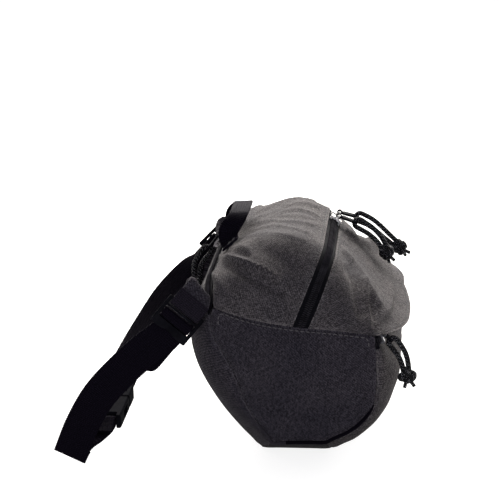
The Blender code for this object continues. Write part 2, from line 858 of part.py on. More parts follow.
def make_zips():
    make_zip("main", MAIN_ZIP, MAIN_ZIP_WIDTH, "front", "rear")
    make_zip("pocket", FRONT_ZIP, POCKET_ZIP_WIDTH, "lower", "upper")
    make_zip("back", BACK_ZIP, POCKET_ZIP_WIDTH, "upper", "lower", BACK_ZIP_REACH)
    for name, x, centre, direction, length, route in (
        ("near", NEAR_SLIDER_X, MAIN_ZIP, NEAR_PULL_HEADING, PULL_LENGTH, NEAR_CORD_STEPS),
        ("far", FAR_SLIDER_X, MAIN_ZIP, FAR_PULL_HEADING, PULL_LENGTH, FAR_CORD_STEPS),
        ("front", FRONT_SLIDER_X, FRONT_ZIP, FRONT_PULL_HEADING, FRONT_PULL_LENGTH, FRONT_CORD_STEPS),
        ("back", BACK_SLIDER_X, BACK_ZIP, BACK_PULL_HEADING, PULL_LENGTH, BACK_CORD_STEPS),
    ):
        slider = make_slider(f"{name}_slider", x, centre)
        pull = make_pull(f"{name}_pull", x, centre, direction, length, slider)
        make_pull_cord(f"{name}_pull", x, centre, direction, length, route, pull)


# Belt

NEAR_BAR = np.array([-END_X - 7.0 * MM, BACK_REACH - 2.3 * MM, END_TOP + 1.4 * MM])
NEAR_BAR_TURN = 39.3
FAR_BAR = np.array([END_X + 7.0 * MM, BACK_REACH - 12.5 * MM, END_TOP + 0.6 * MM])
FAR_BAR_TURN = 44.0
BUCKLE_CENTRE = np.array([NEAR_BAR[0] + 47.0 * MM, NEAR_BAR[1] + 58.3 * MM, 0.268 * NEAR_BAR[2]])
BUCKLE_AXIS = unit(np.array([0.983, -0.074, 0.172]))
BUCKLE_SIDE = unit(np.array([0.074, 0.983, 0.0]))
SOCKET_BAR = -22.5 * MM
CLIP_BAR = 20.5 * MM
BAR_RADIUS = 1.2 * MM
WRAP = BAR_RADIUS * math.sqrt(2) + SEAM_GAP + WEBBING_THICKNESS / 2


def lock_frame(side):
    """Ladder-lock's frame at its tab bar: along the bar, along the belt and outwards."""
    bar = NEAR_BAR if side < 0 else FAR_BAR
    turn = math.radians(NEAR_BAR_TURN if side < 0 else FAR_BAR_TURN)
    across = np.array([0.0, math.cos(turn), math.sin(turn)])
    down = np.array([0.0, math.sin(turn), -math.cos(turn)])
    return bar, across, down, np.array([side, 0.0, 0.0])


LOCK_DIVIDER = (3.8 * MM, 5.4 * MM)
LOCK_MIDDLE_BAR = (8.6 * MM, 10.8 * MM)
LOCK_LIP = (14.0 * MM, 20.0 * MM)
LOCK_SCOOP_RADIUS = 30.0 * MM
LOCK_SCOOP_DEPTH = 1.8 * MM


def make_ladder_lock(name, side):
    """Ladder-lock: side rails, tab bar, two cross bars and a wide lip with a hollowed edge."""
    bar, across, down, _ = lock_frame(side)
    slot_half = WEBBING_WIDTH / 2 + LOCK_SLOT_CLEARANCE
    half = slot_half + LOCK_RAIL
    thick = LOCK_THICKNESS / 2
    made = box_object(name, (-half, -BAR_RADIUS, -thick), (half, LOCK_LIP[1], thick))
    cuts = (
        (BAR_RADIUS, LOCK_DIVIDER[0]),
        (LOCK_DIVIDER[1], LOCK_MIDDLE_BAR[0]),
        (LOCK_MIDDLE_BAR[1], LOCK_LIP[0]),
    )
    soften(made, 0.6 * MM)
    for number, (low, high) in enumerate(cuts):
        label = f"{name}_slot_{number}"
        slot = box_object(label, (-slot_half, low, -2 * thick), (slot_half, high, 2 * thick))
        combine(made, slot, "DIFFERENCE")
    scoop = cylinder_object(name + "_scoop", LOCK_SCOOP_RADIUS, 2 * thick)
    scoop.data.transform(Matrix.Rotation(math.pi / 2, 4, "Y"))
    scoop.data.transform(Matrix.Translation((0, LOCK_LIP[1] + LOCK_SCOOP_RADIUS - LOCK_SCOOP_DEPTH, 0)))
    combine(made, scoop, "DIFFERENCE")
    third = np.cross(across, down)
    place_in(made, frame_matrix(bar, across, down, third), PLASTIC)


def in_lock(side, down_by, out_by):
    """World point this many mm along the belt and outwards from a lock's tab bar."""
    bar, _, down, out = lock_frame(side)
    return bar + down * down_by * MM + out * out_by * MM


def make_tab(name, side):
    """Webbing tab from the wing's tip, round the ladder-lock's bar and back."""
    _, across, _, _ = lock_frame(side)
    wrap = WRAP / MM
    turns = [math.radians(degrees) for degrees in (0, 36, 72, 108, 144, 180)]
    arc = [(wrap * math.sin(turn), wrap * math.cos(turn)) for turn in turns]
    path = [(-9.5, 1.0), (-5.0, 2.2), *arc, (-4.6, -3.1), (-6.2, -3.5)]
    ribbon(name, [(in_lock(side, b, c), across) for b, c in path], WEBBING_WIDTH, WEBBING_THICKNESS, WEBBING)


# Belt's route in a lock as (along the belt, outwards) in mm: its free tail, then round the middle bar
LOCK_TAILS = {
    -1.0: [(50.5, -5.4), (42.0, -6.0), (33.0, -5.9), (24.0, -5.4), (14.5, -4.8)],
    1.0: [(27.0, -14.0), (22.5, -10.2), (18.5, -7.2), (14.5, -5.3)],
}
LOCK_ROUTE = [(10.5, -4.5), (7.6, -3.9), (7.0, -2.2), (7.0, 0.8), (7.9, 2.3), (9.7, 2.6), (11.5, 2.3)]
LOCK_ROUTE += [(12.4, 0.8), (12.6, -1.2), (13.9, -2.35), (16.0, -2.45), (24.0, -2.5)]


def lock_stations(side):
    """Belt from its free tail, round the ladder-lock's middle bar and out under the lip."""
    _, across, _, _ = lock_frame(side)
    return [(in_lock(side, b, c), across) for b, c in LOCK_TAILS[side] + LOCK_ROUTE]


def in_buckle(along_by, up_by, side_by=0.0):
    up = np.cross(BUCKLE_AXIS, BUCKLE_SIDE)
    return BUCKLE_CENTRE + BUCKLE_AXIS * along_by + up * up_by + BUCKLE_SIDE * side_by


def bar_wrap(bar, towards):
    """Belt end round a buckle bar: in from below, round the inner side and back over the top."""
    path = []
    for degrees in (-90, -54, -18, 18, 54, 90):
        angle = math.radians(degrees)
        path.append((bar - towards * WRAP * math.cos(angle), WRAP * math.sin(angle)))
    path += [(bar + towards * 4 * MM, 1.2 * MM), (bar + towards * 8.5 * MM, -0.4 * MM)]
    path.append((bar + towards * 12.5 * MM, -1.6 * MM))
    return [(in_buckle(a, n), BUCKLE_SIDE) for a, n in path]


# Free stretches of the belt: x and y in mm from a lock's bar, z as a share of the bar's height, and the
# (y, z) direction from the inner to the outer edge. The near one runs from the lock to past its fold.
NEAR_BELT_FREE = [
    (1.8, 24.8, 0.757, (0.9, 0.43)),
    (1.4, 40.8, 0.620, (0.92, 0.39)),
    (1.2, 56.8, 0.451, (0.95, 0.3)),
    (1.4, 68.3, 0.258, (0.95, 0.3)),
    (2.0, 74.8, 0.103, (0.92, 0.38)),
    (2.8, 76.3, 0.068, (0.91, 0.41)),
    (4.1, 76.5, 0.065, (0.91, 0.41)),
    (5.0, 75.5, 0.086, (0.91, 0.41)),
    (9.0, 71.3, 0.148, (0.95, 0.3)),
]
FAR_BELT_FREE = [
    (-135.0, 63.5, 0.360, (0.98, 0.2)),
    (-105.0, 59.0, 0.431, (0.93, 0.37)),
    (-75.0, 51.5, 0.540, (0.85, 0.52)),
    (-45.0, 40.5, 0.682, (0.77, 0.64)),
    (-18.0, 26.0, 0.795, (0.72, 0.69)),
    (-6.5, 19.5, 0.810, (0.7, 0.71)),
]


def free_stations(stretch, bar):
    """The stretch's places in the world, each with the way from its inner to its outer edge."""
    return [
        (bar * np.array([1, 1, height]) + np.array([x, y, 0.0]) * MM, np.array([0.0, *across]))
        for x, y, height, across in stretch
    ]


def make_belts():
    for name, side in (("near", -1.0), ("far", 1.0)):
        make_wing(f"{name}_wing", side)
        make_tab(f"{name}_tab", side)
        make_ladder_lock(f"{name}_ladder_lock", side)
    towards_near = [
        (in_buckle(SOCKET_BAR - 13 * MM, -4.6 * MM, 4.0 * MM), BUCKLE_SIDE),
        (in_buckle(SOCKET_BAR - 6 * MM, -3.7 * MM, 1.0 * MM), BUCKLE_SIDE),
    ]
    near = lock_stations(-1.0) + free_stations(NEAR_BELT_FREE, NEAR_BAR)
    near += towards_near + bar_wrap(SOCKET_BAR, -1.0)
    ribbon("near_belt", near, WEBBING_WIDTH, WEBBING_THICKNESS, WEBBING)
    towards_far = [
        (in_buckle(CLIP_BAR + 6 * MM, -3.9 * MM), BUCKLE_SIDE),
        (in_buckle(CLIP_BAR + 14 * MM, -3.6 * MM), BUCKLE_SIDE),
    ]
    far = list(reversed(bar_wrap(CLIP_BAR, 1.0))) + towards_far
    far += free_stations(FAR_BELT_FREE, FAR_BAR) + list(reversed(lock_stations(1.0)))
    ribbon("far_belt", far, WEBBING_WIDTH, WEBBING_THICKNESS, WEBBING)


# Rows of a wing on the bag: (v, station at its top, station at its bottom)
WING_ROOT_ROWS = [(1.1, 16.2, 17.9), (1.25, 16.2, 17.7)]
# Rows past the bag's corner, in mm: how far short of the end panel, then at the top and at the bottom
# how far in front of the back's reach and how far over the end's top
WING_CORNER_ROWS = {
    -1.0: [
        (15.5, (-5.6, 10.0), (-2.6, -14.5)),
        (6.0, (-2.2, 17.3), (-8.0, -6.5)),
        (0.6, (-4.2, 20.0), (-15.7, 5.8)),
    ],
    1.0: [
        (15.5, (-5.6, 8.0), (-2.6, -14.5)),
        (5.5, (-4.0, 14.5), (-8.0, -6.5)),
        (0.6, (-6.5, 17.0), (-16.5, 6.4)),
    ],
}
WING_TIP_ROWS = ((-9.0, -1.6, 21.0, 2.6), (-5.5, -0.5, 20.0, 2.2))
WING_EDGE_SHARE = 0.45


def make_wing(name, side):
    """Padded wing that leaves the back panel and turns round the corner into the tab's loop."""
    rows = []
    for v, top, bottom in WING_ROOT_ROWS:
        lift = SEAM_GAP + WING_THICKNESS / 2
        us = [top + (bottom - top) * column / 4 for column in range(5)]
        rows.append(([surface(v * side, u) - inward(v * side, u) * lift for u in us], WING_THICKNESS))
    _, lock_across, _, _ = lock_frame(side)
    for short, top, bottom in WING_CORNER_ROWS[side]:
        corner = np.array([side * (END_X - short * MM), BACK_REACH, END_TOP])
        start, end = corner + np.array([0.0, *top]) * MM, corner + np.array([0.0, *bottom]) * MM
        rows.append(([start + (end - start) * column / 4 for column in range(5)], WING_THICKNESS))
    for down_by, out_by, width, thickness in WING_TIP_ROWS:
        centre = in_lock(side, down_by, out_by)
        across = lock_across * width * MM
        rows.append(([centre + across * (0.5 - column / 4) for column in range(5)], thickness * MM))
    outer, inner = [], []
    for number, (places, thickness) in enumerate(rows):
        ahead = rows[min(number + 1, len(rows) - 1)][0]
        behind = rows[max(number - 1, 0)][0]
        outer_row, inner_row = [], []
        for column, place in enumerate(places):
            across = places[min(column + 1, 4)] - places[max(column - 1, 0)]
            normal = unit(np.cross(ahead[column] - behind[column], across)) * side
            share = WING_EDGE_SHARE if column in (0, 4) else 1.0
            outer_row.append(place - normal * thickness * share / 2)
            inner_row.append(place + normal * thickness * share / 2)
        outer.append(outer_row)
        inner.append(inner_row)
    sheet_solid(name, outer, inner, CANVAS)


# Buckle


def buckle_matrix():
    up = np.cross(BUCKLE_AXIS, BUCKLE_SIDE)
    return frame_matrix(BUCKLE_CENTRE, BUCKLE_AXIS, BUCKLE_SIDE, up)


MOUTH = 6.0 * MM
SOCKET_BACK = -17.0 * MM
PRONG_TIP = -12.0 * MM
PRONG_WIDTH = 4.8 * MM
PRONG_THICKNESS = 2.8 * MM
ARM_ROOT = 7.5 * MM
ARM_TIP = -11.0 * MM
ARM_WIDTH = 2.6 * MM
ARM_HEAD = 5.0 * MM
ARM_THICKNESS = 4.6 * MM


def make_socket():
    """Socket: hollow sleeve with side windows, and a bar for the webbing behind it."""
    half, thick = BUCKLE_WIDTH / 2, BUCKLE_THICKNESS / 2
    inside_half, inside_thick = half - 2.4 * MM, thick - BUCKLE_WALL
    made = box_object("buckle_socket", (SOCKET_BAR - BAR_RADIUS, -half, -thick), (MOUTH, half, thick))
    soften(made, 1.0 * MM)
    rail = WEBBING_WIDTH / 2 + LOCK_SLOT_CLEARANCE
    high = 2 * BUCKLE_THICKNESS
    window = (ARM_TIP - 1.5 * MM, -1.0 * MM)
    cuts = {
        "cavity": ((SOCKET_BACK, -inside_half, -inside_thick), (MOUTH + half, inside_half, inside_thick)),
        "slot": ((SOCKET_BAR + BAR_RADIUS, -rail, -high), (SOCKET_BACK - 1.2 * MM, rail, high)),
        "over_bar": ((SOCKET_BAR - high, -rail, BAR_RADIUS), (SOCKET_BAR + 2 * BAR_RADIUS, rail, high)),
        "under_bar": ((SOCKET_BAR - high, -rail, -high), (SOCKET_BAR + 2 * BAR_RADIUS, rail, -BAR_RADIUS)),
        "near_window": ((window[0], -2 * half, -inside_thick), (window[1], -inside_half / 2, inside_thick)),
        "far_window": ((window[0], inside_half / 2, -inside_thick), (window[1], 2 * half, inside_thick)),
    }
    for cut, (low, high_corner) in cuts.items():
        combine(made, box_object("socket_" + cut, low, high_corner), "DIFFERENCE")
    place_in(made, buckle_matrix(), PLASTIC)


def make_clip():
    """Clip: head with the centre prong that slides into the socket, and a webbing bar behind."""
    half, thick = BUCKLE_WIDTH / 2, BUCKLE_THICKNESS / 2
    head_low = MOUTH + SEAM_GAP
    head_high = 13.0 * MM
    made = box_object("buckle_clip", (head_low, -half, -thick), (CLIP_BAR + BAR_RADIUS, half, thick))
    soften(made, 1.0 * MM)
    rail = WEBBING_WIDTH / 2 + LOCK_SLOT_CLEARANCE
    high = 2 * BUCKLE_THICKNESS
    cuts = {
        "slot": ((head_high, -rail, -high), (CLIP_BAR - BAR_RADIUS, rail, high)),
        "over_bar": ((head_high, -rail, BAR_RADIUS), (CLIP_BAR + high, rail, high)),
        "under_bar": ((head_high, -rail, -high), (CLIP_BAR + high, rail, -BAR_RADIUS)),
    }
    pocket_half = ARM_WIDTH / 2 + 1.0 * MM
    arm_side = arm_centre()
    for label, sign in (("low", -1.0), ("high", 1.0)):
        cuts["arm_seat_" + label] = (
            (MOUTH - 1 * MM, sign * arm_side - pocket_half, -ARM_THICKNESS / 2 - BUCKLE_CLEARANCE),
            (ARM_ROOT + ARM_WIDTH, sign * arm_side + pocket_half, ARM_THICKNESS / 2 + BUCKLE_CLEARANCE),
        )
    for cut, (low, high_corner) in cuts.items():
        combine(made, box_object("clip_" + cut, low, high_corner), "DIFFERENCE")
    prong_half, prong_thick = PRONG_WIDTH / 2, PRONG_THICKNESS / 2
    prong = box_object(
        "clip_prong", (PRONG_TIP, -prong_half, -prong_thick), (head_low + 2 * MM, prong_half, prong_thick)
    )
    soften(prong, 0.5 * MM)
    combine(made, prong, "UNION")
    place_in(made, buckle_matrix(), PLASTIC)
    return made


def arm_centre():
    """Distance of each release arm's middle line from the buckle's own."""
    return BUCKLE_WIDTH / 2 - 2.4 * MM - BUCKLE_CLEARANCE - ARM_WIDTH / 2 - 0.4 * MM


def make_release_arms(clip):
    """Two sprung arms that hinge in the clip's head and fill the socket's side windows."""
    for name, sign in (("release_arm_lower", -1.0), ("release_arm_upper", 1.0)):
        side = arm_centre()
        outer = side + ARM_WIDTH / 2 + 0.4 * MM
        inner = outer - ARM_HEAD
        outline = [
            (ARM_ROOT + ARM_WIDTH / 2, side - ARM_WIDTH / 2 + 0.6 * MM),
            (ARM_ROOT + ARM_WIDTH / 2, side + ARM_WIDTH / 2 - 0.6 * MM),
            (ARM_ROOT, side + ARM_WIDTH / 2),
            (0.0, side + ARM_WIDTH / 2 - 0.3 * MM),
            (-1.6 * MM, outer),
            (ARM_TIP + 4.0 * MM, outer),
            (ARM_TIP, outer - 2.4 * MM),
            (ARM_TIP, inner + 1.0 * MM),
            (-2.0 * MM, inner),
            (0.5 * MM, side - ARM_WIDTH / 2),
            (ARM_ROOT, side - ARM_WIDTH / 2),
        ]
        mesh = bpy.data.meshes.new(name)
        work = bmesh.new()
        low = -ARM_THICKNESS / 2
        ring = [work.verts.new((along - ARM_ROOT, sign * (across - side), low)) for along, across in outline]
        bottom = work.faces.new(ring)
        top = bmesh.ops.extrude_face_region(work, geom=[bottom])
        moved = [v for v in top["geom"] if isinstance(v, bmesh.types.BMVert)]
        bmesh.ops.translate(work, verts=moved, vec=(0, 0, ARM_THICKNESS))
        bmesh.ops.recalc_face_normals(work, faces=work.faces)
        work.to_mesh(mesh)
        work.free()
        arm = bpy.data.objects.new(name, mesh)
        bpy.context.scene.collection.objects.link(arm)
        root = in_buckle(ARM_ROOT, 0.0, sign * side)
        up = np.cross(BUCKLE_AXIS, BUCKLE_SIDE)
        place_in(arm, frame_matrix(root, BUCKLE_AXIS, BUCKLE_SIDE, up), PLASTIC)
        hang_on(arm, clip)


# Grab loop


def make_grab_loop():
    """Webbing handle over the rear top panel, sewn down at both feet."""
    foot, _, across, normal = frame_at(0.0, 14.3)
    lift = SEAM_GAP + WEBBING_THICKNESS / 2
    base = foot + normal * lift
    tab = 9.0 * MM
    path = [
        (GRAB_HALF_SPAN + tab, 0.0),
        (GRAB_HALF_SPAN + 1.5 * MM, 0.0),
        (GRAB_HALF_SPAN - 0.6 * MM, 0.10),
        (GRAB_HALF_SPAN - 1.5 * MM, 0.4),
        (GRAB_HALF_SPAN - 3.0 * MM, 0.72),
        (GRAB_HALF_SPAN - 7.5 * MM, 0.94),
        (GRAB_HALF_SPAN - 15 * MM, 1.0),
    ]
    path += [(-x, rise) for x, rise in reversed(path)]
    stations = []
    for x, rise in path:
        square_rise = min(rise, 0.25) * GRAB_RISE
        upright_rise = rise * GRAB_RISE - square_rise
        centre = base + np.array([x, 0.0, 0.0]) + normal * square_rise + GRAB_LEAN * upright_rise
        width_way = across * (1 - rise) + np.array([0.0, 0.9, -0.25]) * rise
        stations.append((centre, width_way))
    ribbon("grab_loop", stations, GRAB_WIDTH, WEBBING_THICKNESS, WEBBING)


make_bag()
make_zips()
make_belts()
make_socket()
clip = make_clip()
make_release_arms(clip)
make_grab_loop()
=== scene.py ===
import json
import math

import bmesh
import bpy
import numpy as np
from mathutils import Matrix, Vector, noise

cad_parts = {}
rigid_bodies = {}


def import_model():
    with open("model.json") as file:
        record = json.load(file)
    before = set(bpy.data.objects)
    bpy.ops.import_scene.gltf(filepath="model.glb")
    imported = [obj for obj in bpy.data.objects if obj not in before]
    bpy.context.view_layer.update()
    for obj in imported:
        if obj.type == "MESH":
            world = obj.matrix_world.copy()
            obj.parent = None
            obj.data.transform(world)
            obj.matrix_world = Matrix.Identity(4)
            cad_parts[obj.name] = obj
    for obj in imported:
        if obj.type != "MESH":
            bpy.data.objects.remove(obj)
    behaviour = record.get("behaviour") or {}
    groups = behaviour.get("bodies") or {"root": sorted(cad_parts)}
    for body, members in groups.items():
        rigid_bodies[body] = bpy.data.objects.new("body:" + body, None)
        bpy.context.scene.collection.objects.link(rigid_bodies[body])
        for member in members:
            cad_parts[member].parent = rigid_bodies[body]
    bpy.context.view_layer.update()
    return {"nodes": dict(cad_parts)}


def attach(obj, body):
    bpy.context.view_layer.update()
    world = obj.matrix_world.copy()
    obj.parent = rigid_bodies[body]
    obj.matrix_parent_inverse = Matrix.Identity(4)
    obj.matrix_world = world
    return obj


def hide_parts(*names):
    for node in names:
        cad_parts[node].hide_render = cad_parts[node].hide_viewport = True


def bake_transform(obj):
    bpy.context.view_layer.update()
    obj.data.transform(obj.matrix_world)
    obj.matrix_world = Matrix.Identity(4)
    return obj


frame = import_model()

MM = 0.001

# Bag, as in the part's source
PACK_HEIGHT = 145.0 * MM
FRONT_REACH = 70.0 * MM
BACK_REACH = 68.5 * MM
STRAIGHT_HALF = 60.0 * MM
END_RUN = 48.0 * MM
END_X = STRAIGHT_HALF + END_RUN
END_TOP = 0.724 * PACK_HEIGHT
END_FRONT = 0.771 * FRONT_REACH
END_BACK = 0.752 * BACK_REACH
END_BULGE = 5.5 * MM
PANEL_WALL = 2.0 * MM
SEAM_GAP = 0.3 * MM
HIDDEN_EDGE_GAP = 5.6 * MM
BACK_MESH_WALL = 1.8 * MM
FOAM_THICKNESS = 5.0 * MM
LINING_WALL = 1.0 * MM
POCKET_DEPTH = 12.0 * MM
MAIN_ZIP_WIDTH = 12.0 * MM
POCKET_ZIP_WIDTH = 8.4 * MM
TAPE_WALL = 0.8 * MM
TAPE_RECESS = 0.6 * MM
COIL_WIDTH = 4.8 * MM
COIL_HEIGHT = 1.5 * MM
SLIDER_PLATE = 1.2 * MM
SLIDER_CLEARANCE = 0.35 * MM
PULL_LENGTH = 14.0 * MM
PULL_THICKNESS = 1.6 * MM
FRONT_PULL_LENGTH = 6.6 * MM
PULL_HOLE_INSET = 2.65 * MM
PULL_CORD_DIAMETER = 3.5 * MM
CORD_TURN_RADIUS = 3.0 * MM
CORD_TURN_CENTRE = 3.4 * MM
STRAND_SPREAD = 1.8 * MM
KNOT_LENGTH = 9.0 * MM
WEBBING_WIDTH = 22.0 * MM
WEBBING_THICKNESS = 1.5 * MM
WING_THICKNESS = 4.0 * MM
PIPING_RADIUS = 1.2 * MM
GRAB_HALF_SPAN = 30.0 * MM
GRAB_RISE = 22.0 * MM
GRAB_WIDTH = 13.0 * MM
GRAB_FOOT = 14.3
GRAB_LEAN = np.array([0.0, -0.52, 0.86])

# Fineness of the panels: length of a row on the straight part, rows on a bend, rings and points of an end
PANEL_STEP = 2.0 * MM
END_ROWS = 30
FRONT_COLUMNS = 108
END_RINGS = 44
END_AROUND = 200

# Seams: the dip in a seam, the swell beside it and the puckers along it
SEAM_DIP = 0.9 * MM
SEAM_DIP_WIDTH = 1.6 * MM
SEAM_SWELL = 0.45 * MM
SEAM_SWELL_PLACE = 5.0 * MM
SEAM_SWELL_WIDTH = 3.0 * MM
PUCKER_HEIGHT = 0.3 * MM
PUCKER_REACH = 5.0 * MM
PUCKER_LENGTH = 2.1 * MM
PUCKER_DRIFT = 7.3 * MM
PUCKER_SPELL = 11.0 * MM
END_SEAM_STRENGTH = 0.7

# Cloth folded back beside a zip: how far over the tape, how thin its edge and how high its roll
FOLD_OVER = 1.0 * MM
FOLD_LIP = 0.55 * MM
FOLD_RISE = 0.35 * MM
FOLD_RISE_PLACE = 1.3 * MM
FOLD_RISE_WIDTH = 1.1 * MM
FOLD_THIN = 2.0 * MM
FOLD_THICKENS = 1.5 * MM

# Stitches: thread and gap, shares of a stitch's length with its thickness there, and their place on the cloth
STITCH_LENGTH = 2.6 * MM
STITCH_GAP = 0.9 * MM
STITCH_RADIUS = 0.28 * MM
STITCH_SIDES = 6
STITCH_SHAPE = ((0.0, 0.35), (0.18, 1.0), (0.5, 1.15), (0.82, 1.0), (1.0, 0.35))
STITCH_INSET = 2.2 * MM
STITCH_LIFT = 0.1 * MM
FLAP_STITCH_INSET = 2.4 * MM
END_STITCH_RING = 4
END_STITCH_STATIONS = (5.2, 16.2)

# Slack of the cloth, as waves between the seams, and the fullness of the stuffed pocket
BROAD_WAVE = 0.9 * MM
BROAD_WAVE_LENGTH = 34.0 * MM
SMALL_WAVE = 0.35 * MM
SMALL_WAVE_LENGTH = 12.0 * MM
WAVES_FROM_SEAM = 10.0 * MM
END_WAVE = 0.8 * MM
END_WAVE_LENGTH = 30.0 * MM
END_SMALL_WAVE = 0.3 * MM
END_SMALL_WAVE_LENGTH = 11.0 * MM
END_WAVES_FROM_SEAM = 9.0 * MM
FOLDS_FROM_END = 3.0 * MM
POCKET_FULLNESS = 2.2 * MM
FULLNESS_PLACE = 17.0 * MM
FULLNESS_WIDTH = 10.0 * MM
FULLNESS_END = 1.6

# Widths of the paler, worn edges, half length of the mesh on the back and reach of what is inside
EDGE_WEAR = 0.9 * MM
END_WEAR = 1.0 * MM
WING_WEAR = 1.1 * MM
BACK_PAD_HALF = 82.0 * MM
INSIDE_REACH = 1.67

# Flap: the front top panel leaves the bag at the station FLAP_BEND and hangs over the pocket's zip. On its
# way it passes stations, each at a gap in mm from the bag and with a share of the flap's swell.
FLAP_THICKNESS = 1.3 * MM
FLAP_HEM = 1.2 * MM
FLAP_OVERHANG = 0.236 * FRONT_REACH
FLAP_END_OVERHANG = 0.4 * MM
FLAP_DROP = 2.0 * MM
FLAP_ROOM = 1.5 * MM
FLAP_SWELL = 3.4 * MM
FLAP_SWELL_MIDDLE = -25.0 * MM
FLAP_SWELL_HALF = 60.0 * MM
FLAP_DRAWN_IN = -0.25
FLAP_BEND = 8.7
FLAP_WAY = ((8.3, 0.2, 0.0), (8.0, 0.4, 0.0), (7.6, 0.8, 0.1), (7.2, 1.4, 0.4), (6.9, 2.0, 0.7))

# Piping
PIPING_SUNK = 0.2 * MM
PIPING_TAPER = 8.0 * MM
PIPING_CHANGE = 4.0 * MM
PIPING_BACK_STATIONS = [21.7, 21.3, 21.0, 20.8, 20.6, 20.4]

# Zips
TAPE_UNDER_CLOTH = 0.8 * MM
TAPE_SHARES = np.linspace(0.0, 1.0, 5)
TOOTH_PITCH = 1.3 * MM
TOOTH_SIDES = 5
TOOTH_WIRE = 0.36 * MM

# Knots: how far the cord runs into one, its two rounds, and the lean and steps in mm of its short ends
CORD_TUCK = 2.5 * MM
KNOT_CORD_RADIUS = 2.2 * MM
KNOT_STEPS = 60
KNOT_SIDEWAYS = 1.3
KNOT_UPWARDS = 2.8
KNOT_ONWARDS = 1.25
KNOT_ENDS = ((0.9, -0.5), (-0.7, 0.6))
KNOT_TAIL = (0, 1.5, 3, 4.5, 5.6)
KNOT_END_RADIUS = 1.2 * MM

# Stations of the bag's section, as shares of the reach and of the height: y and z at its middle, how late it
# changes on the way to the ends, and y and z at its ends
AT_ONCE = 1.15
EARLY = 1.5
SOON = 2.0
LATE = 8.0
STATIONS = [
    (-0.343, 0.000, AT_ONCE, -0.410, 0.176),
    (-0.571, 0.066, EARLY, -0.740, 0.266),
    (-0.757, 0.159, SOON, -0.944, 0.385),
    (-0.893, 0.262, SOON, -1.000, 0.495),
    (-0.979, 0.421, SOON, -1.000, 0.638),
    (-0.814, 0.559, LATE, -0.990, 0.762),
    (-0.771, 0.617, LATE, -0.972, 0.843),
    (-0.879, 0.666, SOON, -0.833, 0.859),
    (-0.793, 0.714, SOON, -0.667, 0.868),
    (-0.629, 0.797, SOON, -0.444, 0.879),
    (-0.414, 0.886, SOON, -0.222, 0.886),
    (-0.214, 0.962, SOON, 0.020, 0.898),
    (0.044, 1.000, SOON, 0.252, 0.912),
    (0.365, 0.974, SOON, 0.505, 0.936),
    (0.584, 0.924, SOON, 0.748, 0.967),
    (0.745, 0.852, SOON, 0.970, 1.000),
    (0.876, 0.762, SOON, 1.000, 0.914),
    (0.978, 0.652, SOON, 0.980, 0.838),
    (1.000, 0.545, SOON, 0.854, 0.724),
    (0.927, 0.400, SOON, 0.709, 0.590),
    (0.715, 0.214, EARLY, 0.524, 0.371),
    (0.321, 0.000, AT_ONCE, 0.233, 0.165),
]
LAST = len(STATIONS) - 1
BOTTOM_END = LAST + 1
FRONT_ZIP = 5.5
POCKET_WALL_TOP = 4.5
MAIN_ZIP = 10.5
BACK_ZIP = 15.5
BACK_ZIP_REACH = 1.84
PIPING_TOP = 2.3

# Camera: the photograph looks along the pack, from a little above its near end
VIEW_POINT = np.array([0.0, 34.0, 120.6]) * MM
VIEW_DISTANCE = 1.5
VIEW_DIP = math.radians(12.0)
VIEW_TURN = math.radians(4.0)
PICTURE_PIXELS = 500
PICTURE_WIDTH = 0.34
SENSOR_MM = 36.0

VIEW_AHEAD = np.array(
    [math.cos(VIEW_DIP) * math.cos(VIEW_TURN), math.cos(VIEW_DIP) * math.sin(VIEW_TURN), -math.sin(VIEW_DIP)]
)
VIEW_RIGHT = np.array([math.sin(VIEW_TURN), -math.cos(VIEW_TURN), 0.0])
VIEW_UP = np.cross(VIEW_RIGHT, VIEW_AHEAD)
VIEW_FROM = VIEW_POINT - VIEW_AHEAD * VIEW_DISTANCE


def pixels(points):
    """Where points land in the photograph's frame."""
    offset = points - VIEW_FROM
    depth = offset @ VIEW_AHEAD
    scale = PICTURE_PIXELS * VIEW_DISTANCE / PICTURE_WIDTH / depth
    half = PICTURE_PIXELS / 2
    return np.stack([half + offset @ VIEW_RIGHT * scale, half - offset @ VIEW_UP * scale], axis=-1)


def make_camera():
    made = bpy.data.objects.new("camera", bpy.data.cameras.new("camera"))
    bpy.context.scene.collection.objects.link(made)
    made.data.sensor_width = SENSOR_MM
    made.data.lens = SENSOR_MM * VIEW_DISTANCE / PICTURE_WIDTH
    made.data.clip_start = 0.01
    made.location = VIEW_FROM
    made.rotation_euler = Vector(VIEW_AHEAD).to_track_quat("-Z", "Y").to_euler()
    bpy.context.scene.camera = made


# The bag's surface, as in the part's source


def end_blend(run, lateness):
    return 1.0 - (1.0 - run**lateness) ** (1.0 / lateness)


def x_and_run(v):
    side = math.copysign(1.0, v)
    if abs(v) <= 1.0:
        return STRAIGHT_HALF * v, 0.0
    run = math.sin((min(abs(v), 2.0) - 1.0) * math.pi / 2)
    return side * (STRAIGHT_HALF + END_RUN * run), run


def v_at(x):
    if abs(x) <= STRAIGHT_HALF:
        return x / STRAIGHT_HALF
    run = min((abs(x) - STRAIGHT_HALF) / END_RUN, 1.0)
    return math.copysign(1.0 + math.asin(run) * 2 / math.pi, x)


def station(index, run):
    mid_y, mid_z, lateness, end_y, end_z = STATIONS[index]
    middle = np.array([mid_y * (FRONT_REACH if mid_y < 0 else BACK_REACH), mid_z * PACK_HEIGHT])
    end = np.array([end_y * (END_FRONT if end_y < 0 else END_BACK), end_z * END_TOP])
    return middle + end_blend(run, lateness) * (end - middle)


def curve_between(before, near, far, after, part):
    return 0.5 * (
        2 * near
        + (far - before) * part
        + (2 * before - 5 * near + 4 * far - after) * part**2
        + (3 * near - before - 3 * far + after) * part**3
    )


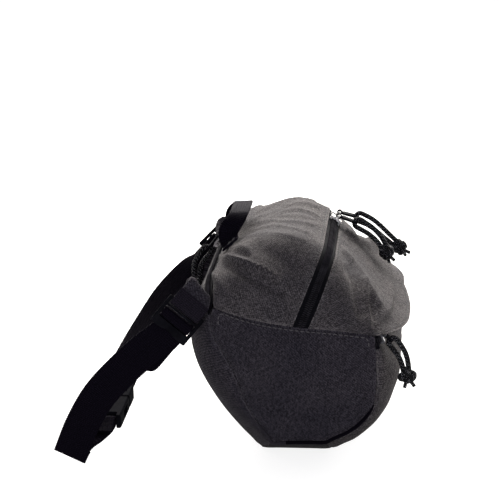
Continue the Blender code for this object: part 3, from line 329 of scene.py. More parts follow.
def surface(v, u):
    """Point of the bag's outer surface: v along the pack, u the station round the section."""
    x, run = x_and_run(v)
    if u > LAST:
        first, second = station(LAST, run), station(0, run)
        return np.array([x, *(first + (u - LAST) * (second - first))])
    low = min(int(u), LAST - 1)
    near, far = station(low, run), station(low + 1, run)
    before = station(low - 1, run) if low > 0 else 2 * near - far
    after = station(low + 2, run) if low + 2 <= LAST else 2 * far - near
    return np.array([x, *curve_between(before, near, far, after, u - low)])


def unit(vector):
    return vector / np.linalg.norm(vector)


def smooth_normal(v, u):
    step = 0.002
    inner_v = math.copysign(min(abs(v), 2.0 - 2 * step), v)
    along = surface(inner_v + step, u) - surface(inner_v - step, u)
    low, high = max(u - step, 0.0), min(u + step, float(BOTTOM_END))
    if low < LAST < high:
        low, high = (LAST, high) if u > LAST else (low, LAST)
    across = surface(v, high) - surface(v, low)
    if abs(v) > 2.0 - step:
        return np.array([math.copysign(1.0, v), 0.0, 0.0])
    return unit(np.cross(along, across))


# How many stations away a distance can end, and how often that stretch is halved to find its end
BESIDE_STATIONS = 1.6
BESIDE_HALVINGS = 16


def beside(centre, distance):
    """Function of v giving the u that lies this far round the section from a station."""

    def found(v):
        start = surface(v, centre)
        low, high = 0.0, BESIDE_STATIONS
        sign = math.copysign(1.0, distance)
        for _ in range(BESIDE_HALVINGS):
            middle = (low + high) / 2
            if np.linalg.norm(surface(v, centre + sign * middle) - start) < abs(distance):
                low = middle
            else:
                high = middle
        return centre + sign * high

    return found


def past(corner, distance):
    """Function of v giving the u this far inside a panel from a corner station."""
    step = math.copysign(0.05, distance)

    def found(v):
        length = np.linalg.norm(surface(v, corner + step) - surface(v, corner))
        return corner + step * abs(distance) / length

    return found


def frame_at(v, u):
    """Place and directions on the surface: along the pack, round the section and outwards."""
    normal = smooth_normal(v, u)
    across = surface(v, min(u + 0.01, BOTTOM_END)) - surface(v, u - 0.01)
    across = unit(across - normal * float(across @ normal))
    return surface(v, u), np.cross(across, normal), across, normal


# Materials


class Look:
    """Small helper for building a material's nodes."""

    def __init__(self, name, roughness, metallic=0.0, specular=0.5):
        self.made = bpy.data.materials.new(name)
        self.made.use_nodes = True
        self.tree = self.made.node_tree
        self.shader = self.tree.nodes["Principled BSDF"]
        self.shader.inputs["Roughness"].default_value = roughness
        self.shader.inputs["Metallic"].default_value = metallic
        self.shader.inputs["Specular IOR Level"].default_value = specular

    def set(self, socket, value):
        if isinstance(value, bpy.types.NodeSocket):
            self.tree.links.new(value, socket)
        elif isinstance(value, tuple) and len(value) < len(socket.default_value):
            socket.default_value = (*value, 1.0)
        else:
            socket.default_value = value

    def node(self, kind, **inputs):
        made = self.tree.nodes.new(kind)
        for name, value in inputs.items():
            self.set(made.inputs[name], value)
        return made

    def link(self, source, socket):
        self.tree.links.new(source, self.shader.inputs[socket])

    def attribute(self, name):
        made = self.node("ShaderNodeAttribute")
        made.attribute_name = name
        return made.outputs

    def weave_place(self, size, turn=0.0, stretch=1.0):
        """Coordinates along and across the cloth, in steps of a size."""
        return self.node(
            "ShaderNodeMapping",
            Vector=self.attribute("weave")["Vector"],
            Rotation=(0.0, 0.0, turn),
            Scale=(1.0 / size, stretch / size, 1.0 / size),
        ).outputs["Vector"]

    def object_place(self, size):
        place = self.node("ShaderNodeTexCoord").outputs["Object"]
        return self.node("ShaderNodeMapping", Vector=place, Scale=(1.0 / size,) * 3).outputs["Vector"]

    def axes(self, vector):
        return self.node("ShaderNodeSeparateXYZ", Vector=vector).outputs

    def noise(self, place, detail=3.0):
        made = self.node("ShaderNodeTexNoise", Vector=place, Scale=1.0, Detail=detail, Roughness=0.55)
        return made.outputs["Fac"]

    def math(self, operation, first, second=0.0, third=0.0):
        made = self.tree.nodes.new("ShaderNodeMath")
        made.operation = operation
        for socket, value in zip(made.inputs, (first, second, third)):
            self.set(socket, value)
        return made.outputs[0]

    def ramp(self, value, *stops):
        made = self.node("ShaderNodeValToRGB", Fac=value)
        ramp = made.color_ramp
        while len(ramp.elements) < len(stops):
            ramp.elements.new(0.5)
        for element, (place, colour) in zip(ramp.elements, stops):
            element.position = place
            element.color = (*colour, 1.0)
        return made.outputs["Color"]

    def mix(self, share, first, second, blend="MIX"):
        made = self.tree.nodes.new("ShaderNodeMix")
        made.data_type = "RGBA"
        made.blend_type = blend
        for number, value in ((0, share), (6, first), (7, second)):
            self.set(made.inputs[number], value)
        return made.outputs[2]

    def bump(self, height, distance, strength):
        made = self.node("ShaderNodeBump", Height=height, Distance=distance, Strength=strength)
        self.link(made.outputs["Normal"], "Normal")

    def bands(self, place, direction, distortion):
        wave = self.node("ShaderNodeTexWave", Vector=place, Scale=1.0, Distortion=distortion, Detail=1.0)
        wave.bands_direction = direction
        return wave.outputs["Fac"]

    def threads(self, size):
        """Warp crossing over weft: two crossed waves, the higher of which shows."""
        place = self.weave_place(size / BAND_PERIOD)
        return self.math("MAXIMUM", self.bands(place, "X", 0.6), self.bands(place, "Y", 0.6))


def scaled(colour, factor):
    return tuple(c * factor for c in colour)


# Share of a unit in which a wave texture repeats, and the sizes that the looks are made in
BAND_PERIOD = 0.314
CANVAS_THREAD = 1.9 * BAND_PERIOD * MM
YARN = 0.43 * MM
YARN_TURN = math.radians(40.0)
FINE_YARN = 0.6 * MM
TWILL_PITCH = 1.25 * MM
TWILL_TURN = math.radians(52.0)
FADED_PATCH = 26.0 * MM
RIB_GRAIN = 1.1 * MM
MESH_CELL = 2.4 * MM
MESH_YARN = 0.6 * MM
MOULD_GRAIN = 0.5 * MM
RUBBED_PATCH = 7.0 * MM
BRUSH_MARK = 0.8 * MM
BRAID_PITCH = 2.6 * MM
BRAID_YARNS = 3
MARKER_YARN = 1.5 * MM
LINING_THREAD = 1.2 * BAND_PERIOD * MM


def canvas(name, colour, fleck, pale):
    """Heathered twill: light and dark yarns on the slant, faded where it is folded at a seam."""
    look = Look(name, 0.92, specular=0.05)
    yarn = look.node("ShaderNodeTexVoronoi", Vector=look.weave_place(YARN, YARN_TURN, 0.6), Scale=1.0)
    flecks = look.axes(yarn.outputs["Color"])["X"]
    fine = look.noise(look.weave_place(FINE_YARN, 0.0, 1.6), 1.0)
    mixed = look.math("ADD", look.math("MULTIPLY", flecks, 0.7), look.math("MULTIPLY", fine, 0.3))
    cloth = look.ramp(mixed, (0.2, scaled(colour, 0.45)), (0.5, colour), (0.82, fleck))
    faded = look.noise(look.object_place(FADED_PATCH))
    shade = look.ramp(faded, (0.3, (0.82, 0.82, 0.84)), (0.7, (1.16, 1.14, 1.1)))
    lines = look.bands(look.weave_place(TWILL_PITCH / BAND_PERIOD, TWILL_TURN), "X", 1.4)
    twill = look.ramp(lines, (0.15, (0.76, 0.76, 0.76)), (0.85, (1.2, 1.2, 1.2)))
    toned = look.mix(1.0, look.mix(1.0, cloth, shade, "MULTIPLY"), twill, "MULTIPLY")
    worn = look.math("MULTIPLY", look.attribute("edge")["Fac"], look.math("MULTIPLY_ADD", flecks, 1.6, -0.2))
    look.link(look.mix(worn, toned, pale), "Base Color")
    height = look.math("ADD", look.threads(CANVAS_THREAD), look.math("MULTIPLY", flecks, 1.2))
    look.bump(height, 0.12 * MM, 0.8)
    return look.made


def ribbed(name, colour, pitch):
    """Narrow woven band with ribs across its length."""
    look = Look(name, 0.75, specular=0.01)
    place = look.axes(look.weave_place(1.0))
    ribs = look.math("SINE", look.math("MULTIPLY", place["X"], 2 * math.pi / pitch))
    cords = look.math("SINE", look.math("MULTIPLY", place["Y"], 2 * math.pi / (pitch * 1.3)))
    height = look.math("ADD", ribs, look.math("MULTIPLY", cords, 0.5))
    grain = look.noise(look.weave_place(RIB_GRAIN, 0.0, 2.0))
    tone = look.math("MULTIPLY_ADD", height, 0.08, grain)
    shade = look.ramp(tone, (0.35, scaled(colour, 0.6)), (0.5, colour), (0.72, scaled(colour, 2.2)))
    look.link(shade, "Base Color")
    look.bump(look.math("ADD", height, grain), 0.15 * MM, 0.7)
    return look.made


def spacer_mesh(name, colour):
    """Knitted mesh with rows of small open holes."""
    look = Look(name, 0.95, specular=0.05)
    place = look.weave_place(MESH_CELL)
    holes = look.node("ShaderNodeTexVoronoi", Vector=place, Scale=1.0, Randomness=0.15).outputs["Distance"]
    grain = look.noise(look.weave_place(MESH_YARN))
    tone = look.math("ADD", look.math("MULTIPLY", holes, 0.7), look.math("MULTIPLY", grain, 0.4))
    shade = look.ramp(tone, (0.25, scaled(colour, 0.3)), (0.55, colour), (0.8, scaled(colour, 2.4)))
    look.link(shade, "Base Color")
    look.bump(holes, 0.6 * MM, 0.8)
    return look.made


def moulded(name, colour, roughness):
    """Moulded plastic with a fine spark-eroded grain and a few rubbed patches."""
    look = Look(name, roughness, specular=0.001)
    rub = look.noise(look.object_place(RUBBED_PATCH), 4.0)
    look.link(look.ramp(rub, (0.4, colour), (0.75, scaled(colour, 2.1))), "Base Color")
    look.link(look.math("MULTIPLY_ADD", rub, 0.3, roughness - 0.15), "Roughness")
    look.bump(look.noise(look.object_place(MOULD_GRAIN), 2.0), 0.03 * MM, 0.5)
    return look.made


def polished_metal(name, colour):
    """Die-cast metal, brushed a little, its colour and roughness varying in patches."""
    look = Look(name, 0.28, metallic=1.0)
    brush = look.noise(look.object_place(BRUSH_MARK), 4.0)
    look.link(look.ramp(brush, (0.3, scaled(colour, 0.7)), (0.7, colour)), "Base Color")
    look.link(look.math("MULTIPLY_ADD", brush, 0.25, 0.16), "Roughness")
    look.bump(brush, 0.02 * MM, 0.4)
    return look.made


def braided(name, colour, fleck):
    """Round braid: two sets of yarns winding round, with pale marker yarns now and then."""
    look = Look(name, 0.7, specular=0.1)
    place = look.axes(look.weave_place(1.0))
    turns = look.math("MULTIPLY", place["X"], 2 * math.pi / BRAID_PITCH)
    winds = look.math("MULTIPLY", place["Y"], 2 * math.pi * BRAID_YARNS)
    one = look.math("SINE", look.math("ADD", turns, winds))
    other = look.math("SINE", look.math("SUBTRACT", turns, winds))
    marks = look.noise(look.weave_place(MARKER_YARN), 1.0)
    shown = look.math("MULTIPLY", look.math("GREATER_THAN", marks, 0.64), look.math("GREATER_THAN", one, 0.1))
    look.link(look.mix(shown, colour, fleck), "Base Color")
    look.bump(look.math("MULTIPLY", one, other), 0.25 * MM, 0.8)
    return look.made


def plain_weave(name, colour):
    """Plain cloth or thread, with one size of yarn both ways."""
    look = Look(name, 0.85)
    weave = look.threads(LINING_THREAD)
    look.link(look.ramp(weave, (0.2, scaled(colour, 0.7)), (0.8, colour)), "Base Color")
    look.bump(weave, 0.1 * MM, 0.7)
    return look.made


UPPER_CANVAS = canvas("upper_canvas", (0.07, 0.065, 0.068), (0.15, 0.141, 0.142), (0.19, 0.178, 0.175))
# Painted shade: a darker, bluer copy of the upper canvas for the ends, the back panel's ends, the wings and
# the piping's rear part
SHADED_END_CANVAS = canvas("end_canvas", (0.04, 0.037, 0.045), (0.073, 0.068, 0.08), (0.105, 0.098, 0.108))
# Painted shade: a near-black copy of the canvas for the bottom panel's shaded underside
SHADED_UNDER_CANVAS = canvas("shaded_under_canvas", (0.012, 0.011, 0.013), (0.03, 0.028, 0.031), (0.04, 0.038, 0.04))
BACK_MESH = spacer_mesh("spacer_mesh", (0.03, 0.028, 0.03))
LINING = plain_weave("grey_lining", (0.12, 0.12, 0.13))
FOAM = plain_weave("soft_foam", (0.3, 0.3, 0.3))
TAPE = ribbed("ribbed_tape", (0.007, 0.007, 0.0085), 0.8 * MM)
COIL = moulded("coil_plastic", (0.024, 0.023, 0.026), 0.45)
METAL = polished_metal("slider_metal_look", (0.6, 0.59, 0.58))
DARK_METAL = polished_metal("painted_metal_look", (0.05, 0.05, 0.055))
PLASTIC = moulded("moulded_black", (0.006, 0.006, 0.0075), 0.5)
WEBBING = ribbed("ribbed_webbing", (0.005, 0.004, 0.007), 1.2 * MM)
# Painted light: a lighter copy of the belt's webbing for the tabs, which catch more light
LIT_TAB_WEBBING = ribbed("tab_webbing", (0.015, 0.013, 0.018), 1.2 * MM)
CORD = braided("braided_cord", (0.004, 0.004, 0.005), (0.62, 0.62, 0.64))
THREAD = plain_weave("dark_thread", (0.06, 0.058, 0.06))
PALE_THREAD = plain_weave("grey_thread", (0.12, 0.115, 0.115))


# Mesh building


def add_mesh(name, points, faces, look, body, weave=None, edge=None, nodes=()):
    """A mesh piece that rides on a body, stands for CAD nodes and carries its cloth coordinates."""
    mesh = bpy.data.meshes.new(name)
    mesh.from_pydata([tuple(p) for p in points], [], faces)
    work = bmesh.new()
    work.from_mesh(mesh)
    bmesh.ops.recalc_face_normals(work, faces=work.faces)
    work.to_mesh(mesh)
    work.free()
    if weave is not None:
        stored = mesh.attributes.new("weave", "FLOAT_VECTOR", "POINT")
        stored.data.foreach_set("vector", np.asarray(weave, np.float32).ravel())
    if edge is not None:
        stored = mesh.attributes.new("edge", "FLOAT", "POINT")
        stored.data.foreach_set("value", np.asarray(edge, np.float32).ravel())
    mesh.materials.append(look)
    mesh.shade_smooth()
    mesh.set_sharp_from_angle(angle=math.radians(50))
    made = bpy.data.objects.new(f"{name}_detail" if name in frame["nodes"] else name, mesh)
    bpy.context.scene.collection.objects.link(made)
    if body:
        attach(made, body)
    if nodes:
        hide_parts(*nodes)
    return made


def closed_sheet(outer, inner):
    """Points and faces of the solid between two grids of shape (rows, columns, 3)."""
    rows, columns = outer.shape[:2]
    points = np.concatenate([outer.reshape(-1, 3), inner.reshape(-1, 3)])
    index = np.arange(2 * rows * columns).reshape(2, rows, columns)
    faces = []
    for layer in index:
        quads = np.stack([layer[:-1, :-1], layer[1:, :-1], layer[1:, 1:], layer[:-1, 1:]], axis=-1)
        faces += quads.reshape(-1, 4).tolist()
    for ring in (index[:, :, 0], index[:, :, -1], index[:, 0, :], index[:, -1, :]):
        faces += np.stack([ring[0, :-1], ring[0, 1:], ring[1, 1:], ring[1, :-1]], axis=-1).tolist()
    return points, faces


def ring_faces(low, high, sides):
    """Faces between two rings of points."""
    return [[low + s, low + (s + 1) % sides, high + (s + 1) % sides, high + s] for s in range(sides)]


def tube_faces(base, rings, sides):
    """Faces of a closed tube made of rings of points, from a first point on."""
    faces = []
    for ring in range(rings - 1):
        low = base + ring * sides
        faces += ring_faces(low, low + sides, sides)
    faces.append([base + s for s in reversed(range(sides))])
    faces.append([base + (rings - 1) * sides + s for s in range(sides)])
    return faces


def circle(centre, one, other, radius, sides):
    angles = [2 * math.pi * side / sides for side in range(sides)]
    return [centre + radius * (one * math.cos(a) + other * math.sin(a)) for a in angles]


def grid_normals(grid):
    """Normals of a grid of points, from its rows and columns."""
    along = np.gradient(grid, axis=0)
    across = np.gradient(grid, axis=1)
    normals = np.cross(along, across)
    lengths = np.linalg.norm(normals, axis=-1, keepdims=True)
    return normals / np.maximum(lengths, 1e-12)


def lengths_along(grid, axis):
    steps = np.linalg.norm(np.diff(grid, axis=axis), axis=-1)
    pad = [(0, 0), (0, 0)]
    pad[axis] = (1, 0)
    return np.pad(np.cumsum(steps, axis=axis), pad)


def lengths_of(line):
    """How far along a line of points each of them lies."""
    return np.concatenate([[0.0], np.cumsum(np.linalg.norm(np.diff(line, axis=0), axis=1))])


def points_at(places, lengths, line):
    """Points of a line at a place, or at several, along it."""
    return np.stack([np.interp(places, lengths, line[:, axis]) for axis in range(line.shape[1])], axis=-1)


def directions_of(path):
    """Unit vectors along a path, one at each of its points."""
    steps = np.gradient(path, axis=0)
    return steps / np.linalg.norm(steps, axis=1, keepdims=True)


def cloth_mesh(name, grid, outer, inner, look, nodes, rim=None, wear=EDGE_WEAR):
    """Sheet between two grids, with cloth coordinates from a third one and a paler, worn edge."""
    points, faces = closed_sheet(outer, inner)
    along, across = lengths_along(grid, 0), lengths_along(grid, 1)
    weave = np.stack([along, across, np.zeros_like(along)], axis=-1).reshape(-1, 3)
    edge = None
    if rim is not None:
        worn = np.exp(-((rim / wear) ** 2))
        edge = np.tile(np.broadcast_to(worn, along.shape).ravel(), 2)
    return add_mesh(name, points, faces, look, "pack", np.tile(weave, (2, 1)), edge, nodes)


def second_look(made, look, chosen):
    """Gives another material to the faces whose middles are chosen."""
    made.data.materials.append(look)
    for face in made.data.polygons:
        if chosen(face.center):
            face.material_index = 1


def bumpy(points, size, seed):
    """Smooth undulation from -1 to 1 with features of a given size, always the same."""
    flat = points.reshape(-1, 3) / size + seed
    values = [noise.noise(Vector(p)) for p in flat]
    return np.array(values).reshape(points.shape[:-1])


# Folds of the cloth that the photograph shows, as lines in its pixels: points, height in mm (a hollow
# is negative) and half width in pixels. The far end gets the same folds, mirrored.
FOLDS = [
    ([(206, 263), (214, 257), (228, 257), (243, 261), (262, 268), (272, 274), (280, 280)], 3.0, 2.8),
    ([(218, 252), (233, 247), (246, 247)], 1.2, 2.4),
    ([(224, 252), (236, 251), (248, 254)], -2.0, 2.4),
    ([(258, 247), (276, 255), (296, 268)], -2.6, 8.0),
    ([(222, 263), (236, 268), (250, 276), (268, 284), (280, 292)], -3.8, 5.0),
    ([(206, 268), (214, 275), (224, 289), (238, 301)], 2.0, 3.6),
    ([(343, 252), (350, 258), (357, 266), (364, 276), (371, 289), (379, 303)], 2.7, 2.8),
    ([(364, 280), (367, 300), (370, 330)], 2.6, 2.2),
    ([(372, 300), (376, 316)], -2.4, 3.6),
    ([(350, 268), (356, 284), (361, 312)], -2.8, 5.0),
    ([(376, 272), (386, 290), (398, 306)], -1.0, 4.5),
    ([(345, 241), (352, 243), (359, 250)], 0.9, 2.0),
    ([(262, 205), (290, 203), (318, 206)], 0.9, 1.4),
    ([(255, 212), (288, 209), (322, 212)], 1.0, 1.6),
    ([(250, 218), (288, 215), (322, 219)], 1.0, 1.6),
    ([(243, 225), (270, 220), (300, 222), (318, 226)], 1.1, 1.7),
    ([(248, 230), (275, 225), (296, 229), (312, 234)], 0.9, 1.6),
    ([(240, 238), (262, 233), (285, 235), (305, 241)], 0.8, 1.8),
    ([(212, 241), (222, 237), (234, 236)], 0.9, 1.6),
]
# How fast a fold grows to its full height where the cloth turns to the viewer
FOLD_FACING = 4.0


def distance_to_line(places, line):
    best = np.full(places.shape[:-1], np.inf)
    for start, end in zip(line[:-1], line[1:]):
        start, end = np.array(start, float), np.array(end, float)
        way = end - start
        share = np.clip(((places - start) @ way) / (way @ way), 0.0, 1.0)
        gap = np.linalg.norm(places - (start + share[..., None] * way), axis=-1)
        best = np.minimum(best, gap)
    return best


def photo_folds(points, normals):
    """Height of the folds at surface points, taken as seen from the near end."""
    near = points.copy()
    near[..., 0] = -np.abs(near[..., 0])
    facing = normals.copy()
    facing[..., 0] = -np.abs(facing[..., 0])
    seen = np.clip(-(facing @ VIEW_AHEAD) * FOLD_FACING, 0.0, 1.0)
    places = pixels(near)
    height = np.zeros(points.shape[:-1])
    for line, rise, half_width in FOLDS:
        height += rise * MM * np.exp(-((distance_to_line(places, line) / half_width) ** 2))
    return height * seen


def outward(grid, normals):
    """Turns a grid's normals away from the bag's middle line."""
    middle = np.array([0.0, 0.0, 0.5 * PACK_HEIGHT])
    away = grid - middle
    away[..., 0] *= 0.3
    flip = np.sign(np.sum(normals * away, axis=-1).mean())
    return normals * flip


def panel_rows(reach):
    """v of each row of a fine panel that reaches this far to both sides."""
    straight = round(2 * STRAIGHT_HALF / PANEL_STEP)
    rows = [-1.0 + 2.0 * i / straight for i in range(straight + 1)]
    ends = [1.0 + (i + 1) / END_ROWS for i in range(END_ROWS)]
    rows = [-v for v in reversed(ends)] + rows + ends
    return [-reach] + [v for v in rows if abs(v) < reach - 1e-6] + [reach]


def seam_relief(from_seam, along, strength=1.0):
    """How cloth dips into a seam, swells beside it and puckers along it."""
    dip = -SEAM_DIP * np.exp(-((from_seam / SEAM_DIP_WIDTH) ** 2))
    swell = SEAM_SWELL * np.exp(-(((from_seam - SEAM_SWELL_PLACE) / SEAM_SWELL_WIDTH) ** 2))
    wobble = np.sin(along / PUCKER_LENGTH + 1.7 * np.sin(along / PUCKER_DRIFT)) * np.sin(along / PUCKER_SPELL)
    pucker = PUCKER_HEIGHT * wobble * np.exp(-from_seam / PUCKER_REACH)
    return (dip + swell + pucker) * strength


def folded_edge(from_edge):
    """Height and thickness of cloth that is folded back beside a zip and lies over its tape."""
    rise = FOLD_RISE * np.exp(-(((from_edge - FOLD_RISE_PLACE) / FOLD_RISE_WIDTH) ** 2))
    full = np.clip((from_edge - FOLD_THIN) / FOLD_THICKENS, 0.0, 1.0)
    return rise, FOLD_LIP + (PANEL_WALL - FOLD_LIP) * full


def slack(grid, seed):
    """Broad and small waves of cloth that isn't pulled tight."""
    broad = BROAD_WAVE * bumpy(grid, BROAD_WAVE_LENGTH, seed)
    return broad + SMALL_WAVE * bumpy(grid, SMALL_WAVE_LENGTH, seed + 5)


def fabric_panel(name, start, stop, columns, look, seed, depth=PANEL_WALL, outer_depth=0.0, reach=2.0,
                 relief=1.0, nodes=None, folds=1.0, over_zip=False, fullness=0.0):
    """One sewn panel of the bag, puckered at its seams and folded as in the photograph."""
    rows = panel_rows(reach)
    grid = np.empty((len(rows), columns, 3))
    for i, v in enumerate(rows):
        first, last = start(v), stop(v)
        grid[i] = [surface(v, first + s * (last - first)) for s in np.linspace(0.0, 1.0, columns)]
    normals = outward(grid, grid_normals(grid))
    for i in (0, -1):
        if abs(rows[i]) >= 2.0 - 1e-6:
            normals[i] = np.array([math.copysign(1.0, rows[i]), 0.0, 0.0])
    along, from_low = lengths_along(grid, 0), lengths_along(grid, 1)
    from_high = from_low[:, -1:] - from_low
    from_ends = np.minimum(along, along[-1:] - along)
    from_edge = np.minimum(np.minimum(from_low, from_high), from_ends)
    height = seam_relief(from_high, along)
    if over_zip:
        rise, depth = folded_edge(from_low)
        height += rise
        depth = depth[..., None]
    else:
        height += seam_relief(from_low, along)
    height += seam_relief(from_ends, from_low, END_SEAM_STRENGTH)
    straight = np.clip(FULLNESS_END - np.abs(np.array(rows)), 0.0, 1.0)[:, None]
    height += fullness * straight * np.exp(-(((from_high - FULLNESS_PLACE) / FULLNESS_WIDTH) ** 2))
    height += np.clip(from_edge / WAVES_FROM_SEAM, 0.0, 1.0) * slack(grid, seed)
    height += folds * np.clip(from_ends / FOLDS_FROM_END, 0.0, 1.0) * photo_folds(grid, normals)
    height *= relief
    outer = grid + normals * (height - outer_depth)[..., None]
    inner = outer - normals * depth
    made = cloth_mesh(name, grid, outer, inner, look, (name,) if nodes is None else nodes, from_edge)
    return made, outer, normals


def row_line(outer, normals, low=True, inset=STITCH_INSET):
    """Line on a panel at a distance from one of its long edges, just over the cloth."""
    across = lengths_along(outer, 1)
    line = []
    for row in range(outer.shape[0]):
        gaps = across[row] if low else across[row, -1] - across[row]
        column = int(np.argmin(np.abs(gaps - inset)))
        line.append(outer[row, column] + normals[row, column] * STITCH_LIFT)
    return line


# Stitching


def stitches(name, line, look=THREAD):
    """Row of thread stitches along a line on the cloth."""
    line = np.array(line)
    at = lengths_of(line)
    points, faces = [], []
    for number in range(int(at[-1] / (STITCH_LENGTH + STITCH_GAP))):
        begin = number * (STITCH_LENGTH + STITCH_GAP) + STITCH_GAP / 2
        start, end = points_at([begin, begin + STITCH_LENGTH], at, line)
        way = unit(end - start)
        one = unit(np.cross(way, (0.31, 0.52, 0.79)))
        other = np.cross(way, one)
        faces += tube_faces(len(points), len(STITCH_SHAPE), STITCH_SIDES)
        for share, thick in STITCH_SHAPE:
            centre = start + (end - start) * share
            points += circle(centre, one, other, STITCH_RADIUS * thick, STITCH_SIDES)
    return add_mesh(name, points, faces, look, "pack", points)


# Bag


def make_bag():
    half_gap = SEAM_GAP / 2
    main_edge = MAIN_ZIP_WIDTH / 2
    pocket_edge = POCKET_ZIP_WIDTH / 2
    _, pocket, pocket_out = fabric_panel(
        "front_pocket_panel", past(0, half_gap), beside(FRONT_ZIP, -pocket_edge - SEAM_GAP), 40, UPPER_CANVAS,
        3.0, fullness=POCKET_FULLNESS,
    )
    fabric_panel(
        "pocket_zip_facing", beside(FRONT_ZIP, pocket_edge + SEAM_GAP + HIDDEN_EDGE_GAP), lambda v: 7.8, 12,
        UPPER_CANVAS, 11.0, outer_depth=0.5 * MM, relief=0.3, folds=0.0, nodes=(),
    )
    front, front_out = make_front(beside(MAIN_ZIP, -main_edge + FOLD_OVER))
    _, rear, rear_out = fabric_panel(
        "rear_top_panel", beside(MAIN_ZIP, main_edge - FOLD_OVER),
        beside(BACK_ZIP, -pocket_edge - 2 * SEAM_GAP), 64, UPPER_CANVAS, 19.0, over_zip=True,
    )
    back, back_grid, back_out = fabric_panel(
        "back_panel", beside(BACK_ZIP, pocket_edge + 2 * SEAM_GAP), past(LAST, -half_gap), 42,
        BACK_MESH, 27.0, depth=BACK_MESH_WALL, relief=0.7,
    )
    # The back panel's ends get the darker canvas copy, which is painted shade
    second_look(back, SHADED_END_CANVAS, lambda centre: abs(centre.x) > BACK_PAD_HALF)
    # The bottom panel gets the near-black canvas, which is painted shade for its underside
    fabric_panel(
        "bottom_panel", past(LAST, half_gap), past(BOTTOM_END, -half_gap), 16, SHADED_UNDER_CANVAS, 35.0, relief=0.3,
    )
    stitches("pocket_zip_stitches", row_line(pocket, pocket_out, low=False))
    stitches("main_front_stitches", row_line(front, front_out))
    stitches("main_rear_stitches", row_line(rear, rear_out))
    stitches("back_zip_stitches", row_line(rear, rear_out, low=False))
    stitches("back_panel_stitches", row_line(back_grid, back_out))
    make_end_panel("near_end_panel", -1.0)
    make_end_panel("far_end_panel", 1.0)
    make_inside()
    make_piping("near_piping", -1.0)
    make_piping("far_piping", 1.0)


def make_end_panel(name, side):
    """Domed end panel inside the outline that the other panels leave."""
    us = np.linspace(0.0, BOTTOM_END, END_AROUND, endpoint=False)
    loop = np.array([surface(2.0 * side, u)[1:] for u in us])
    middle = loop.mean(axis=0)
    away = loop - middle
    loop = loop - away / np.linalg.norm(away, axis=1, keepdims=True) * SEAM_GAP
    shares = np.linspace(1.0, 0.0, END_RINGS) ** 0.9
    grid = np.empty((END_RINGS, END_AROUND + 1, 3))
    closed = np.concatenate([loop, loop[:1]])
    for ring, share in enumerate(shares):
        grid[ring, :, 0] = side * (END_X + END_BULGE * (1 - share**2))
        grid[ring, :, 1:] = middle + max(share, 0.004) * (closed - middle)
    out = np.array([side, 0.0, 0.0])
    from_rim = (1.0 - shares)[:, None] * np.linalg.norm(closed - middle, axis=1)[None, :]
    waves = END_WAVE * bumpy(grid, END_WAVE_LENGTH, 43.0)
    waves = waves + END_SMALL_WAVE * bumpy(grid, END_SMALL_WAVE_LENGTH, 51.0)
    height = seam_relief(from_rim, np.broadcast_to(lengths_of(closed), from_rim.shape))
    height = height + np.clip(from_rim / END_WAVES_FROM_SEAM, 0.0, 1.0) * waves
    height[:, -1] = height[:, 0]
    outer = grid + out * height[..., None]
    inner = grid + out * (height - PANEL_WALL)[..., None]
    count = END_AROUND
    points, faces, weave, edge = [], [], [], []
    for layer in (outer, inner):
        rings = layer[:-1, :count].reshape(-1, 3)
        points += [*rings, layer[-1, 0]]
        weave += [(p[1], p[2], 0.0) for p in rings] + [(*middle, 0.0)]
        edge += [*np.exp(-((from_rim[:-1, :count] / END_WEAR) ** 2)).ravel(), 0.0]
    per_layer = (END_RINGS - 1) * count + 1
    for base in (0, per_layer):
        for ring in range(END_RINGS - 2):
            faces += ring_faces(base + ring * count, base + (ring + 1) * count, count)
        last = base + (END_RINGS - 2) * count
        faces += [[last + i, last + (i + 1) % count, base + per_layer - 1] for i in range(count)]
    faces += ring_faces(0, per_layer, count)
    # The end panel gets the darker canvas copy, which is painted shade
    add_mesh(name, points, faces, SHADED_END_CANVAS, "pack", weave, edge, (name,))
    first, last = END_STITCH_STATIONS
    seam = [outer[END_STITCH_RING, i] + out * STITCH_LIFT for i in range(count) if first < us[i] < last]
    stitches(f"{name}_stitches", seam, look=PALE_THREAD)


def make_inside():
    """Foam behind the back panel, the back pocket's lining and the front pocket's inner wall."""
    hidden = {"reach": INSIDE_REACH, "relief": 0.3, "folds": 0.0}
    foam_top = BACK_MESH_WALL + 3 * SEAM_GAP
    lining_top = foam_top + FOAM_THICKNESS + 3 * SEAM_GAP
    below_zip = beside(BACK_ZIP, POCKET_ZIP_WIDTH)
    fabric_panel(
        "back_foam", below_zip, past(LAST, -12 * MM), 16, FOAM, 61.0,
        depth=FOAM_THICKNESS, outer_depth=foam_top, **hidden,
    )
    fabric_panel(
        "back_pocket_lining", below_zip, past(LAST, -16 * MM), 16, LINING, 67.0,
        depth=LINING_WALL, outer_depth=lining_top, **hidden,
    )
    seat = PANEL_WALL + 4 * SEAM_GAP
    bulge = seat + (POCKET_DEPTH - seat) * np.sin(np.pi * np.linspace(0.0, 1.0, 20))
    fabric_panel(
        "pocket_divider", past(0, 8 * MM), lambda v: POCKET_WALL_TOP, 20, LINING, 73.0,
        depth=LINING_WALL, outer_depth=bulge, **hidden,
    )


def front_section(v, top_edge):
    """Points from the main zip down the front, round the bend and out to the flap's hem."""
    x, run = x_and_run(v)
    ended = end_blend(run, SOON)
    lift = FLAP_ROOM + FLAP_OVERHANG + ended * (FLAP_END_OVERHANG - FLAP_OVERHANG)
    out = unit(smooth_normal(v, FRONT_ZIP) * np.array([1, 1, 0]))
    swell = FLAP_SWELL * max(1.0 - ((x - FLAP_SWELL_MIDDLE) / FLAP_SWELL_HALF) ** 2, FLAP_DRAWN_IN)
    up = np.array([0, 0, FLAP_ROOM - FLAP_DROP * (1.0 - ended)])
    top = top_edge(v)
    path = [surface(v, top + (FLAP_BEND - top) * share) for share in np.linspace(0.0, 1.0, 10)]
    for u, gap, share in FLAP_WAY:
        clear = gap * MM * (1.0 - 0.6 * ended) + share * swell
        path.append(surface(v, u) + smooth_normal(v, u) * clear)
    path.append(surface(v, FRONT_ZIP + 0.5) + out * (lift + swell) + up)
    return path


